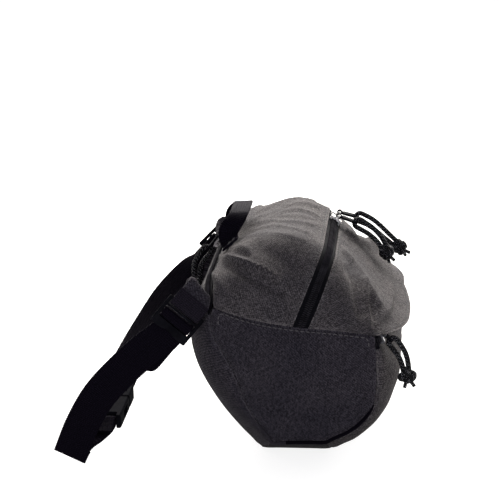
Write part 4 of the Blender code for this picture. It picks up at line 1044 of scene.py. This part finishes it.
def make_front(top_edge):
    """Front top panel, which runs on as the storm flap that hangs over the pocket's zip."""
    rows = panel_rows(2.0)
    grid = np.empty((len(rows), FRONT_COLUMNS, 3))
    for i, v in enumerate(rows):
        fine = smooth_through(front_section(v, top_edge), 1.0 * MM)
        at = lengths_of(fine)
        grid[i] = points_at(np.linspace(0.0, at[-1], FRONT_COLUMNS), at, fine)
    normals = outward(grid, grid_normals(grid))
    along, from_zip = lengths_along(grid, 0), lengths_along(grid, 1)
    from_hem = from_zip[:, -1:] - from_zip
    from_ends = np.minimum(along, along[-1:] - along)
    from_sewn = np.minimum(from_zip, from_ends)
    rise, zip_thickness = folded_edge(from_zip)
    height = rise + seam_relief(from_ends, from_zip, END_SEAM_STRENGTH)
    height += np.clip(from_sewn / WAVES_FROM_SEAM, 0.0, 1.0) * slack(grid, 11.0)
    height += np.clip(from_ends / FOLDS_FROM_END, 0.0, 1.0) * photo_folds(grid, normals)
    outer = grid + normals * height[..., None]
    thick = FLAP_THICKNESS * (0.5 + 0.5 * np.clip(from_hem / FLAP_HEM, 0.0, 1.0))
    inner = outer - normals * np.minimum(thick, zip_thickness)[..., None]
    replaced = ("front_top_panel", "pocket_flap")
    cloth_mesh("front_top_panel", grid, outer, inner, UPPER_CANVAS, replaced, np.minimum(from_hem, from_sewn))
    stitches("flap_hem_stitches", row_line(outer, normals, low=False, inset=FLAP_STITCH_INSET))
    return outer, normals


def tube_mesh(name, path, radius, look, body, nodes, sides=12, taper=0.0):
    """Round cord as a mesh along a path, with its cloth coordinates running along and around."""
    path = np.array(path)
    tangents = directions_of(path)
    side = unit(np.cross(tangents[0], (0.3, 0.5, 0.8)))
    at = lengths_of(path)
    full = np.ones(len(path))
    if taper:
        full = np.clip(np.minimum(at, at[-1] - at) / taper, 0.1, 1.0) ** 0.5
    points, weave = [], []
    for place, centre, tangent, thick in zip(at, path, tangents, full):
        side = unit(side - tangent * float(side @ tangent))
        points += circle(centre, side, np.cross(tangent, side), radius * thick, sides)
        weave += [(place, step / sides, 0.0) for step in range(sides)]
    return add_mesh(name, points, tube_faces(0, len(path), sides), look, body, weave, None, nodes)


def smooth_through(points, spacing):
    """Points every so often along a rounded curve through the given ones."""
    points = [np.array(p, float) for p in points]
    padded = [2 * points[0] - points[1], *points, 2 * points[-1] - points[-2]]
    times = [0.0]
    for first, second in zip(padded[:-1], padded[1:]):
        times.append(times[-1] + max(np.linalg.norm((second - first)[:3]), 1e-6) ** 0.5)
    route = []
    for i in range(1, len(padded) - 2):
        p0, p1, p2, p3 = padded[i - 1 : i + 3]
        t0, t1, t2, t3 = times[i - 1 : i + 3]
        count = max(int(math.ceil(np.linalg.norm((p2 - p1)[:3]) / spacing)), 1)
        for step in range(count):
            t = t1 + (t2 - t1) * step / count
            a1 = (t1 - t) / (t1 - t0) * p0 + (t - t0) / (t1 - t0) * p1
            a2 = (t2 - t) / (t2 - t1) * p1 + (t - t1) / (t2 - t1) * p2
            a3 = (t3 - t) / (t3 - t2) * p2 + (t - t2) / (t3 - t2) * p3
            b1 = (t2 - t) / (t2 - t0) * a1 + (t - t0) / (t2 - t0) * a2
            b2 = (t3 - t) / (t3 - t1) * a2 + (t - t1) / (t3 - t1) * a3
            route.append((t2 - t) / (t2 - t1) * b1 + (t - t1) / (t2 - t1) * b2)
    route.append(points[-1])
    return np.array(route)


def make_piping(name, side):
    """Bound edge under an end panel and up its front."""
    x = side * (END_X - PIPING_SUNK)
    us = [PIPING_TOP - step * PIPING_TOP / 10 for step in range(11)] + PIPING_BACK_STATIONS
    path = smooth_through([(x, *surface(2.0 * side, u)[1:]) for u in us], 1.5 * MM)
    piping = tube_mesh(name, path, PIPING_RADIUS, WEBBING, "pack", (name,), taper=PIPING_TAPER)
    # The piping's rear part gets the darker canvas copy, which is painted shade
    second_look(piping, SHADED_END_CANVAS, lambda centre: centre.y > PIPING_CHANGE)


# Zips


def make_tape(name, centre, near_edge, far_edge, reach):
    """Zip tape from the coil to under the cloth's folded edge."""
    outer, inner = [], []
    for v in panel_rows(reach):
        place, _, across, normal = frame_at(v, centre)
        spots = [place + across * (near_edge + (far_edge - near_edge) * share) for share in TAPE_SHARES]
        outer.append([spot - normal * TAPE_RECESS for spot in spots])
        inner.append([spot - normal * (TAPE_RECESS + TAPE_WALL) for spot in spots])
    outer, inner = np.array(outer), np.array(inner)
    cloth_mesh(name, outer, outer, inner, TAPE, (name,))


def coil_loop():
    """One bent loop of the coil's wire, as steps out from the zip's middle and up."""
    half = COIL_WIDTH / 2 - TOOTH_WIRE
    low = -TAPE_RECESS + SEAM_GAP + TOOTH_WIRE
    high = -TAPE_RECESS + SEAM_GAP + COIL_HEIGHT - TOOTH_WIRE
    middle = (low + high) / 2
    route = [(half, low), (half + 0.1 * MM, middle), (half * 0.8, high), (half * 0.35, high)]
    return route + [(TOOTH_WIRE, high), (TOOTH_WIRE * 0.9, middle), (half * 0.4, low)]


def make_coil(name, centre, sign, reach):
    """Half of a zip's coil: one bent wire loop for every tooth."""
    frames = [frame_at(v, centre) for v in panel_rows(reach)]
    places, acrosses, normals = (np.array([f[part] for f in frames]) for part in (0, 2, 3))
    at = lengths_of(places)
    route = coil_loop()
    points, faces = [], []
    for tooth in range(int(at[-1] / TOOTH_PITCH)):
        spot = (tooth + (0.25 if sign < 0 else 0.75)) * TOOTH_PITCH
        place, across, normal = (points_at(spot, at, line) for line in (places, acrosses, normals))
        along = unit(np.cross(across, normal))
        faces += tube_faces(len(points), len(route), TOOTH_SIDES)
        for step, (out, up) in enumerate(route):
            before = route[max(step - 1, 0)]
            after = route[min(step + 1, len(route) - 1)]
            tangent = unit(np.array(after) - np.array(before))
            for turn in range(TOOTH_SIDES):
                angle = 2 * math.pi * turn / TOOTH_SIDES
                tall = TOOTH_WIRE * math.sin(angle)
                outwards = sign * across * (out - tangent[1] * tall)
                upwards = normal * (up + tangent[0] * tall)
                points.append(place + outwards + upwards + along * TOOTH_WIRE * math.cos(angle))
    add_mesh(name, points, faces, COIL, "pack", None, None, (name,))


def make_zips():
    half_gap = SEAM_GAP / 2
    for name, centre, width, sides, reach in (
        ("main", MAIN_ZIP, MAIN_ZIP_WIDTH, {"front": -1.0, "rear": 1.0}, 2.0),
        ("pocket", FRONT_ZIP, POCKET_ZIP_WIDTH, {"lower": -1.0, "upper": 1.0}, 2.0),
        ("back", BACK_ZIP, POCKET_ZIP_WIDTH, {"upper": -1.0, "lower": 1.0}, BACK_ZIP_REACH),
    ):
        for side, sign in sides.items():
            far_edge = sign * (width / 2 + TAPE_UNDER_CLOTH)
            make_tape(f"{name}_{side}_tape", centre, sign * half_gap, far_edge, reach)
            make_coil(f"{name}_{side}_coil", centre, sign, reach)


# Pull cords: headings of the pulls as (y, z), and the cords' routes as steps in mm from each pull's tip
PULL_CORDS = {
    "near": (36.0 * MM, MAIN_ZIP, (-0.94, -0.35), PULL_LENGTH,
             [(-0.4, -7.0, -3.9), (-0.8, -11.5, -7.4), (-1.2, -15.2, -11.3), (-1.5, -17.8, -15.6)]),
    "far": (50.0 * MM, MAIN_ZIP, (-0.97, -0.245), PULL_LENGTH,
            [(0.4, -7.0, -3.0), (0.8, -13.0, -7.3), (1.2, -19.2, -13.0), (1.6, -25.1, -18.2)]),
    "front": (-98.0 * MM, FRONT_ZIP, (-0.7, -0.71), FRONT_PULL_LENGTH,
              [(-0.4, -4.1, -5.2), (-0.8, -6.4, -9.1), (-1.0, -7.8, -13.2), (-1.2, -8.6, -17.1)]),
    "back": (54.0 * MM, BACK_ZIP, (0.6, -0.8), PULL_LENGTH,
             [(0.4, 4.4, -6.0), (0.8, 6.8, -11.0), (1.0, 7.6, -16.0), (0.8, 7.2, -21.0)]),
}


def bail_axis(x, centre):
    """World point on the axis that a pull swings about."""
    coil_top = -TAPE_RECESS + SEAM_GAP + COIL_HEIGHT
    height = coil_top + SLIDER_CLEARANCE + SLIDER_PLATE + PULL_THICKNESS + SLIDER_CLEARANCE
    place, _, _, normal = frame_at(v_at(x), centre)
    return place + normal * height


def coarse_route(points, per_span):
    points = [np.array(p, float) for p in points]
    padded = [2 * points[0] - points[1], *points, 2 * points[-1] - points[-2]]
    route = []
    for i in range(1, len(padded) - 2):
        route += [curve_between(*padded[i - 1 : i + 3], step / per_span) for step in range(per_span)]
    return route + [points[-1]]


def cord_loop(x, centre, direction, length, route):
    """Points of a cord through the pull's hole, with both strands side by side down to the knot."""
    heading = unit(np.array([0.0, *direction]))
    axis = bail_axis(x, centre)
    side = np.array([1.0, 0.0, 0.0])
    face = np.cross(side, heading)
    turn_centre = axis + heading * (length - PULL_HOLE_INSET + CORD_TURN_CENTRE)
    tip = axis + heading * length
    middle = coarse_route([turn_centre, *[tip + np.array(step) * MM for step in route]], 2)[1:]
    upper, lower = [], []
    for number, place in enumerate(middle):
        before = middle[number - 1] if number else turn_centre
        after = middle[min(number + 1, len(middle) - 1)]
        square = unit(np.cross(side, after - before))
        share = (number + 1) / len(middle)
        spread = CORD_TURN_RADIUS + share * (STRAND_SPREAD - CORD_TURN_RADIUS)
        upper.append(place + square * spread)
        lower.append(place - square * spread)
    turn = []
    for degrees in range(90, -91, -30):
        angle = math.radians(degrees)
        turn.append(turn_centre + CORD_TURN_RADIUS * (face * math.sin(angle) - heading * math.cos(angle)))
    return list(reversed(upper)) + turn + lower, middle


def make_knot(name, centre, heading, body, turn):
    """Overhand knot of the doubled cord: two rounds that pass through each other, and two short ends."""
    heading = unit(heading)
    side = unit(np.cross(heading, (0.2, 0.1, 1.0)))
    up = np.cross(heading, side)
    path = []
    for step in range(KNOT_STEPS + 1):
        t = 2 * math.pi * step / KNOT_STEPS + turn
        sideways = side * (math.sin(t) + 2 * math.sin(2 * t)) * KNOT_SIDEWAYS
        onwards = heading * (math.cos(t) - 2 * math.cos(2 * t)) * KNOT_ONWARDS
        upwards = up * -math.sin(3 * t) * KNOT_UPWARDS
        path.append(centre + (sideways + upwards + onwards) * MM)
    pieces = [tube_mesh(name, path, KNOT_CORD_RADIUS, CORD, body, (name,), sides=10)]
    for number, (out, lean) in enumerate(KNOT_ENDS):
        start = centre + heading * 2.0 * MM + side * out * MM
        way = heading + side * out * 0.5 + up * lean * 0.4
        tail = smooth_through([start + way * s * MM for s in KNOT_TAIL], 0.8 * MM)
        pieces.append(tube_mesh(f"{name}_end_{number}", tail, KNOT_END_RADIUS, CORD, body, (), sides=9))
    return pieces


def make_pull_cords():
    for number, (name, (x, centre, direction, length, route)) in enumerate(PULL_CORDS.items()):
        body = f"{name}_pull_body"
        points, middle = cord_loop(x, centre, direction, length, route)
        path = smooth_through(points, 0.9 * MM)
        last = unit(middle[-1] - middle[-2])
        tuck = last * CORD_TUCK
        path = np.concatenate([[path[0] + tuck], path, [path[-1] + tuck]])
        node = f"{name}_pull_cord"
        cord = tube_mesh(node, path, PULL_CORD_DIAMETER / 2, CORD, body, (node,))
        knot_centre = middle[-1] + last * (KNOT_LENGTH / 2 + SEAM_GAP)
        knot = make_knot(f"{name}_pull_knot", knot_centre, last, body, number * 0.9)


# Belt
NEAR_BAR = np.array([-END_X - 7.0 * MM, BACK_REACH - 2.3 * MM, END_TOP + 1.4 * MM])
NEAR_BAR_TURN = 39.3
FAR_BAR = np.array([END_X + 7.0 * MM, BACK_REACH - 12.5 * MM, END_TOP + 0.6 * MM])
FAR_BAR_TURN = 44.0
BUCKLE_CENTRE = np.array([NEAR_BAR[0] + 47.0 * MM, NEAR_BAR[1] + 58.3 * MM, 0.268 * NEAR_BAR[2]])
BUCKLE_AXIS = unit(np.array([0.983, -0.074, 0.172]))
BUCKLE_SIDE = unit(np.array([0.074, 0.983, 0.0]))
SOCKET_BAR = -22.5 * MM
CLIP_BAR = 20.5 * MM
BAR_RADIUS = 1.2 * MM
WRAP = BAR_RADIUS * math.sqrt(2) + SEAM_GAP + WEBBING_THICKNESS / 2
# Belt's route in a lock as (along the belt, outwards) in mm: its free tail, then round the middle bar
LOCK_TAILS = {
    -1.0: [(50.5, -5.4), (42.0, -6.0), (33.0, -5.9), (24.0, -5.4), (14.5, -4.8)],
    1.0: [(27.0, -14.0), (22.5, -10.2), (18.5, -7.2), (14.5, -5.3)],
}
LOCK_ROUTE = [(10.5, -4.5), (7.6, -3.9), (7.0, -2.2), (7.0, 0.8), (7.9, 2.3), (9.7, 2.6), (11.5, 2.3)]
LOCK_ROUTE += [(12.4, 0.8), (12.6, -1.2), (13.9, -2.35), (16.0, -2.45), (24.0, -2.5)]
# Free stretches of the belt: x and y in mm from a lock's bar, z as a share of the bar's height, and the
# (y, z) direction from the inner to the outer edge
NEAR_BELT_FREE = [
    (1.8, 24.8, 0.757, (0.9, 0.43)),
    (1.4, 40.8, 0.620, (0.92, 0.39)),
    (1.2, 56.8, 0.451, (0.95, 0.3)),
    (1.4, 68.3, 0.258, (0.95, 0.3)),
    (2.0, 74.8, 0.103, (0.92, 0.38)),
    (2.8, 76.3, 0.068, (0.91, 0.41)),
    (4.1, 76.5, 0.065, (0.91, 0.41)),
    (5.0, 75.5, 0.086, (0.91, 0.41)),
    (9.0, 71.3, 0.148, (0.95, 0.3)),
]
FAR_BELT_FREE = [
    (-135.0, 63.5, 0.360, (0.98, 0.2)),
    (-105.0, 59.0, 0.431, (0.93, 0.37)),
    (-75.0, 51.5, 0.540, (0.85, 0.52)),
    (-45.0, 40.5, 0.682, (0.77, 0.64)),
    (-18.0, 26.0, 0.795, (0.72, 0.69)),
    (-6.5, 19.5, 0.810, (0.7, 0.71)),
]
# Belt beside the buckle: steps in mm from a bar along the buckle, up and sideways, and the sewn-back end
# over a bar as steps along and up
SOCKET_APPROACH = [(-13.0, -4.6, 4.0), (-6.0, -3.7, 1.0)]
CLIP_APPROACH = [(6.0, -3.9, 0.0), (14.0, -3.6, 0.0)]
BELT_END = [(4.0, 1.2), (8.5, -0.4), (12.5, -1.6)]
# Section of the webbing: shares of its half width, and of its thickness at each
WEBBING_SHARES = np.array([-1.0, -0.965, -0.88, -0.6, -0.3, 0.0, 0.3, 0.6, 0.88, 0.965, 1.0])
WEBBING_FULLNESS = np.array([0.35, 0.8, 1.0, 1.0, 1.0, 1.0, 1.0, 1.0, 1.0, 0.8, 0.35])


def ribbon(name, stations, width, look, spacing=1.4 * MM, round_start=False, body="pack"):
    """Webbing through stations of (centre, width direction), with a selvedge along both edges."""
    joined = [np.concatenate([np.array(c, float), unit(np.array(a, float)) * MM]) for c, a in stations]
    path = smooth_through(joined, spacing)
    centres, acrosses = path[:, :3], path[:, 3:]
    at = lengths_of(centres)
    outer = np.empty((len(path), len(WEBBING_SHARES), 3))
    inner = np.empty_like(outer)
    weave = np.zeros_like(outer)
    for i, (centre, across, tangent) in enumerate(zip(centres, acrosses, directions_of(centres))):
        across = unit(across - tangent * float(across @ tangent))
        normal = np.cross(tangent, across)
        half = width / 2
        if round_start and at[i] < half:
            half *= math.sqrt(max(1.0 - (1.0 - at[i] / half) ** 4, 0.05))
        for j, (share, full) in enumerate(zip(WEBBING_SHARES, WEBBING_FULLNESS)):
            place = centre - across * share * half
            outer[i, j] = place + normal * WEBBING_THICKNESS / 2 * full
            inner[i, j] = place - normal * WEBBING_THICKNESS / 2 * full
            weave[i, j] = (at[i], share * half, 0.0)
    points, faces = closed_sheet(outer, inner)
    return add_mesh(name, points, faces, look, body, np.tile(weave.reshape(-1, 3), (2, 1)), None, (name,))


def lock_frame(side):
    """Ladder-lock's frame at its tab bar: along the bar, along the belt and outwards."""
    bar = NEAR_BAR if side < 0 else FAR_BAR
    turn = math.radians(NEAR_BAR_TURN if side < 0 else FAR_BAR_TURN)
    across = np.array([0.0, math.cos(turn), math.sin(turn)])
    down = np.array([0.0, math.sin(turn), -math.cos(turn)])
    return bar, across, down, np.array([side, 0.0, 0.0])


def in_lock(side, down_by, out_by, across_by=0.0):
    """World point in a lock's frame, in mm from its tab bar."""
    bar, across, down, out = lock_frame(side)
    return bar + down * down_by * MM + out * out_by * MM + across * across_by * MM


def make_tab(name, side):
    """Webbing tab from the wing's tip, round the ladder-lock's bar and back."""
    _, across, _, _ = lock_frame(side)
    wrap = WRAP / MM
    angles = [math.radians(degrees) for degrees in range(0, 181, 36)]
    arc = [(wrap * math.sin(a), wrap * math.cos(a)) for a in angles]
    path = [(-9.5, 1.0), (-5.0, 2.2), *arc, (-4.6, -3.1), (-6.2, -3.5)]
    stations = [(in_lock(side, b, c), across) for b, c in path]
    # The tab gets the lighter webbing, which is painted light
    ribbon(name, stations, WEBBING_WIDTH, LIT_TAB_WEBBING, 0.8 * MM)
    for row, down_by in enumerate((-8.0, -5.6)):
        out_by = 2.35 + (down_by + 5.0) * 0.27
        line = [in_lock(side, down_by, out_by, s) for s in np.linspace(-10, 10, 12)]
        stitches(f"{name}_stitches_{row}", line)


def lock_stations(side):
    """Belt from its free tail, round the ladder-lock's middle bar and out under the lip."""
    _, across, _, _ = lock_frame(side)
    return [(in_lock(side, b, c), across) for b, c in LOCK_TAILS[side] + LOCK_ROUTE]


def in_buckle(along_by, up_by, side_by=0.0):
    up = np.cross(BUCKLE_AXIS, BUCKLE_SIDE)
    return BUCKLE_CENTRE + BUCKLE_AXIS * along_by + up * up_by + BUCKLE_SIDE * side_by


def bar_wrap(bar, towards):
    """Belt end round a buckle bar: in from below, round the inner side and back over the top."""
    path = []
    for degrees in range(-90, 91, 36):
        angle = math.radians(degrees)
        path.append((bar - towards * WRAP * math.cos(angle), WRAP * math.sin(angle)))
    path += [(bar + towards * along * MM, up * MM) for along, up in BELT_END]
    return [(in_buckle(along, up), BUCKLE_SIDE) for along, up in path]


def beside_bar(bar, steps):
    return [(in_buckle(bar + a * MM, n * MM, s * MM), BUCKLE_SIDE) for a, n, s in steps]


def free_stations(stretch, bar):
    return [
        (bar * np.array([1, 1, height]) + np.array([x, y, 0.0]) * MM, np.array([0.0, *across]))
        for x, y, height, across in stretch
    ]


def make_belts():
    for name, side in (("near", -1.0), ("far", 1.0)):
        make_wing(f"{name}_wing", side)
        make_tab(f"{name}_tab", side)
    near = lock_stations(-1.0) + free_stations(NEAR_BELT_FREE, NEAR_BAR)
    near += beside_bar(SOCKET_BAR, SOCKET_APPROACH) + bar_wrap(SOCKET_BAR, -1.0)
    far = list(reversed(bar_wrap(CLIP_BAR, 1.0))) + beside_bar(CLIP_BAR, CLIP_APPROACH)
    far += free_stations(FAR_BELT_FREE, FAR_BAR) + list(reversed(lock_stations(1.0)))
    ribbon("near_belt", near, WEBBING_WIDTH, WEBBING, round_start=True)
    far_belt = ribbon("far_belt", far, WEBBING_WIDTH, WEBBING, body=None)
    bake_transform(far_belt)


# Wing: rows on the bag as (v, top and bottom station), rows round the corner as mm inside the end and (y, z)
# of both edges from the corner, and rows in the lock as mm down, out, wide and thick
WING_ROOT_ROWS = [(1.1, 16.2, 17.9), (1.25, 16.2, 17.7)]
WING_CORNER_ROWS = {
    -1.0: [
        (15.5, (-5.6, 10.0), (-2.6, -14.5)),
        (6.0, (-2.2, 17.3), (-8.0, -6.5)),
        (0.6, (-4.2, 20.0), (-15.7, 5.8)),
    ],
    1.0: [
        (15.5, (-5.6, 8.0), (-2.6, -14.5)),
        (5.5, (-4.0, 14.5), (-8.0, -6.5)),
        (0.6, (-6.5, 17.0), (-16.5, 6.4)),
    ],
}
WING_TIP_ROWS = ((-9.0, -1.6, 21.0, 2.6), (-5.5, -0.5, 20.0, 2.2))
WING_COLUMNS = 21
WING_SPANS = 4
WING_EDGE = 2.6 * MM
WING_QUILT = 0.25 * MM
WING_QUILT_LENGTH = 9.0 * MM


def wing_row(points, thickness):
    """Row of points across the wing, each with the wing's thickness there."""
    return np.array([[*point, thickness] for point in points])


def wing_rows(side):
    """Rows across the wing, from where it leaves the back panel to the tab's loop."""
    spans = np.arange(WING_SPANS + 1) / WING_SPANS
    rows = []
    for v, top, bottom in WING_ROOT_ROWS:
        lift = SEAM_GAP + WING_THICKNESS / 2
        us = [top + (bottom - top) * share for share in spans]
        places = [surface(v * side, u) + smooth_normal(v * side, u) * lift for u in us]
        rows.append(wing_row(places, WING_THICKNESS))
    for short, top, bottom in WING_CORNER_ROWS[side]:
        corner = np.array([side * (END_X - short * MM), BACK_REACH, END_TOP])
        start = corner + np.array([0.0, *top]) * MM
        end = corner + np.array([0.0, *bottom]) * MM
        rows.append(wing_row([start + (end - start) * share for share in spans], WING_THICKNESS))
    _, lock_across, _, _ = lock_frame(side)
    for down_by, out_by, width, thickness in WING_TIP_ROWS:
        centre = in_lock(side, down_by, out_by)
        across = lock_across * width * MM
        rows.append(wing_row([centre + across * (0.5 - share) for share in spans], thickness * MM))
    return rows


def make_wing(name, side):
    """Padded wing that leaves the back panel and turns round the corner into the tab's loop."""
    fine = np.array(coarse_route(wing_rows(side), 8))
    shares = np.linspace(0, WING_SPANS, WING_COLUMNS)
    grid = np.array([points_at(shares, range(WING_SPANS + 1), row) for row in fine])
    places, thickness = grid[..., :3], grid[..., 3]
    normals = grid_normals(places) * side
    rim = np.minimum(shares, WING_SPANS - shares) / WING_SPANS * 25 * MM
    full = 0.4 + 0.6 * np.clip(rim / WING_EDGE, 0, 1) ** 0.5
    quilt = WING_QUILT * bumpy(places, WING_QUILT_LENGTH, 91.0)
    half = thickness / 2 * full + quilt * (full - 0.4)
    outer = places - normals * half[..., None]
    inner = places + normals * half[..., None]
    # The wing gets the darker canvas copy, which is painted shade
    wing = cloth_mesh(name, places, outer, inner, SHADED_END_CANVAS, (name,), rim, WING_WEAR)


# Grab loop: steps in mm outside its half span, with the share of its rise at each
GRAB_ROUTE = [(9.0, 0.0), (1.5, 0.0), (-0.6, 0.10), (-1.5, 0.4), (-3.0, 0.72), (-7.5, 0.94), (-15.0, 1.0)]


def make_grab_loop():
    """Webbing handle over the rear top panel, sewn down at both feet."""
    foot, _, across, normal = frame_at(0.0, GRAB_FOOT)
    base = foot + normal * (SEAM_GAP + WEBBING_THICKNESS / 2 + 0.4 * MM)
    path = [(GRAB_HALF_SPAN + out * MM, rise) for out, rise in GRAB_ROUTE]
    path += [(-x, rise) for x, rise in reversed(path)]
    stations = []
    for x, rise in path:
        square_rise = min(rise, 0.25) * GRAB_RISE
        upright_rise = rise * GRAB_RISE - square_rise
        centre = base + np.array([x, 0.0, 0.0]) + normal * square_rise + GRAB_LEAN * upright_rise
        stations.append((centre, across * (1 - rise) + np.array([0.0, 0.95, -0.05]) * rise))
    ribbon("grab_loop", stations, GRAB_WIDTH, WEBBING)
    for name, side in (("near", -1), ("far", 1)):
        for row in range(4):
            x = side * (GRAB_HALF_SPAN + 2.0 * MM + row * 1.9 * MM)
            middle = base + np.array([x, 0, 0]) + normal * 0.85 * MM
            stitches(f"grab_stitches_{name}_{row}", [middle + across * s * MM for s in np.linspace(-5, 5, 8)])


# The moulded and cast pieces keep their shapes and get finished materials
RIGID_LOOKS = {
    METAL: ("near_slider", "far_slider"),
    DARK_METAL: ("front_slider", "back_slider"),
    PLASTIC: (
        "near_pull", "far_pull", "front_pull", "back_pull", "near_ladder_lock", "far_ladder_lock",
        "buckle_socket", "buckle_clip", "release_arm_lower", "release_arm_upper",
    ),
}


def finish_rigid():
    for look, nodes in RIGID_LOOKS.items():
        for made in bpy.data.objects:
            if made.type == "MESH" and made.name.split(".")[0] in nodes:
                made.data.materials.clear()
                made.data.materials.append(look)


# Floor and light
FLOOR_HALF = 3.0
FLOOR_LEVEL = -0.2 * MM
FLOOR_GRAIN = 1.0 / 3.0
FLOOR_FADE = 0.45
FLOOR_GLOW = 0.84
FLOOR_GLOW_GAIN = 0.2
SOFT_LIGHT = (0.93, 0.92, 1.0)
SOFT_STRENGTH = 0.08
WHITE = (1.0, 1.0, 1.0)

# Lamps: name, place, target, size in metres, power in watts and colour
LAMPS = (
    ("overhead", (0.5, 0.1, 1.1), (0.0, 0.0, 0.1), 1.0, 2.5, (1.0, 0.965, 0.93)),
    ("far_end", (1.15, 0.1, 0.75), (0.0, 0.0, 0.1), 1.2, 61.0, (1.0, 0.965, 0.93)),
    ("front_side", (1.1, -0.8, 0.35), (0.0, 0.0, 0.08), 0.8, 16.0, (1.0, 0.96, 0.92)),
    ("back_side", (0.8, 1.1, 0.4), (0.0, 0.0, 0.08), 0.8, 8.0, (1.0, 0.95, 0.9)),
    ("near_end", (-1.3, -0.1, 0.3), (0.0, 0.0, 0.08), 0.9, 7.0, (0.88, 0.86, 1.0)),
)


def seen_directly(tree):
    """1 for rays from the camera, off a shiny surface or through a clear one, and 0 for all others."""
    rays = tree.nodes.new("ShaderNodeLightPath")
    seen = rays.outputs["Is Camera Ray"]
    for kind in ("Is Glossy Ray", "Is Transmission Ray"):
        either = tree.nodes.new("ShaderNodeMath")
        either.operation = "MAXIMUM"
        tree.links.new(seen, either.inputs[0])
        tree.links.new(rays.outputs[kind], either.inputs[1])
        seen = either.outputs[0]
    return seen


def make_floor():
    """White ground that glows a little less close to the bag."""
    corners = ((-1, -1), (1, -1), (1, 1), (-1, 1))
    mesh = bpy.data.meshes.new("floor")
    mesh.from_pydata([(x * FLOOR_HALF, y * FLOOR_HALF, FLOOR_LEVEL) for x, y in corners], [], [(0, 1, 2, 3)])
    floor = bpy.data.objects.new("floor", mesh)
    bpy.context.scene.collection.objects.link(floor)
    look = Look("pale_floor", 0.9)
    grain = look.noise(look.object_place(FLOOR_GRAIN))
    look.link(look.ramp(grain, (0.3, (0.29,) * 3), (0.7, (0.31,) * 3)), "Base Color")
    away = look.node("ShaderNodeVectorMath", Vector=look.node("ShaderNodeTexCoord").outputs["Object"])
    away.operation = "LENGTH"
    outwards = look.math("MULTIPLY", away.outputs["Value"], 1.0 / FLOOR_FADE)
    glow = look.math("MINIMUM", look.math("MULTIPLY_ADD", outwards, FLOOR_GLOW_GAIN, FLOOR_GLOW), 1.0)
    look.shader.inputs["Emission Color"].default_value = (*WHITE, 1.0)
    look.link(look.math("MULTIPLY", seen_directly(look.tree), glow), "Emission Strength")
    mesh.materials.append(look.made)


def background(tree, colour, strength):
    made = tree.nodes.new("ShaderNodeBackground")
    made.inputs["Color"].default_value = (*colour, 1.0)
    made.inputs["Strength"].default_value = strength
    return made.outputs[0]


def make_world():
    """Soft light from all round, with plain white behind everything."""
    world = bpy.data.worlds.new("studio")
    bpy.context.scene.world = world
    world.use_nodes = True
    tree = world.node_tree
    tree.nodes.clear()
    out = tree.nodes.new("ShaderNodeOutputWorld")
    mix = tree.nodes.new("ShaderNodeMixShader")
    soft = background(tree, SOFT_LIGHT, SOFT_STRENGTH)
    plain = background(tree, WHITE, 1.0)
    for source, socket in zip((seen_directly(tree), soft, plain), mix.inputs):
        tree.links.new(source, socket)
    tree.links.new(mix.outputs[0], out.inputs[0])


def make_lamps():
    for name, place, target, size, power, colour in LAMPS:
        lamp = bpy.data.lights.new(name, "AREA")
        lamp.size = size
        lamp.energy = power
        lamp.color = colour
        made = bpy.data.objects.new(name, lamp)
        made.location = place
        way = Vector(target) - Vector(place)
        made.rotation_euler = way.to_track_quat("-Z", "Y").to_euler()
        bpy.context.scene.collection.objects.link(made)


make_camera()
make_floor()
make_world()
make_lamps()
make_pull_cords()
make_bag()
make_zips()
make_belts()
make_grab_loop()
finish_rigid()
bpy.context.scene.view_settings.view_transform = "Standard"

bpy.context.view_layer.update()
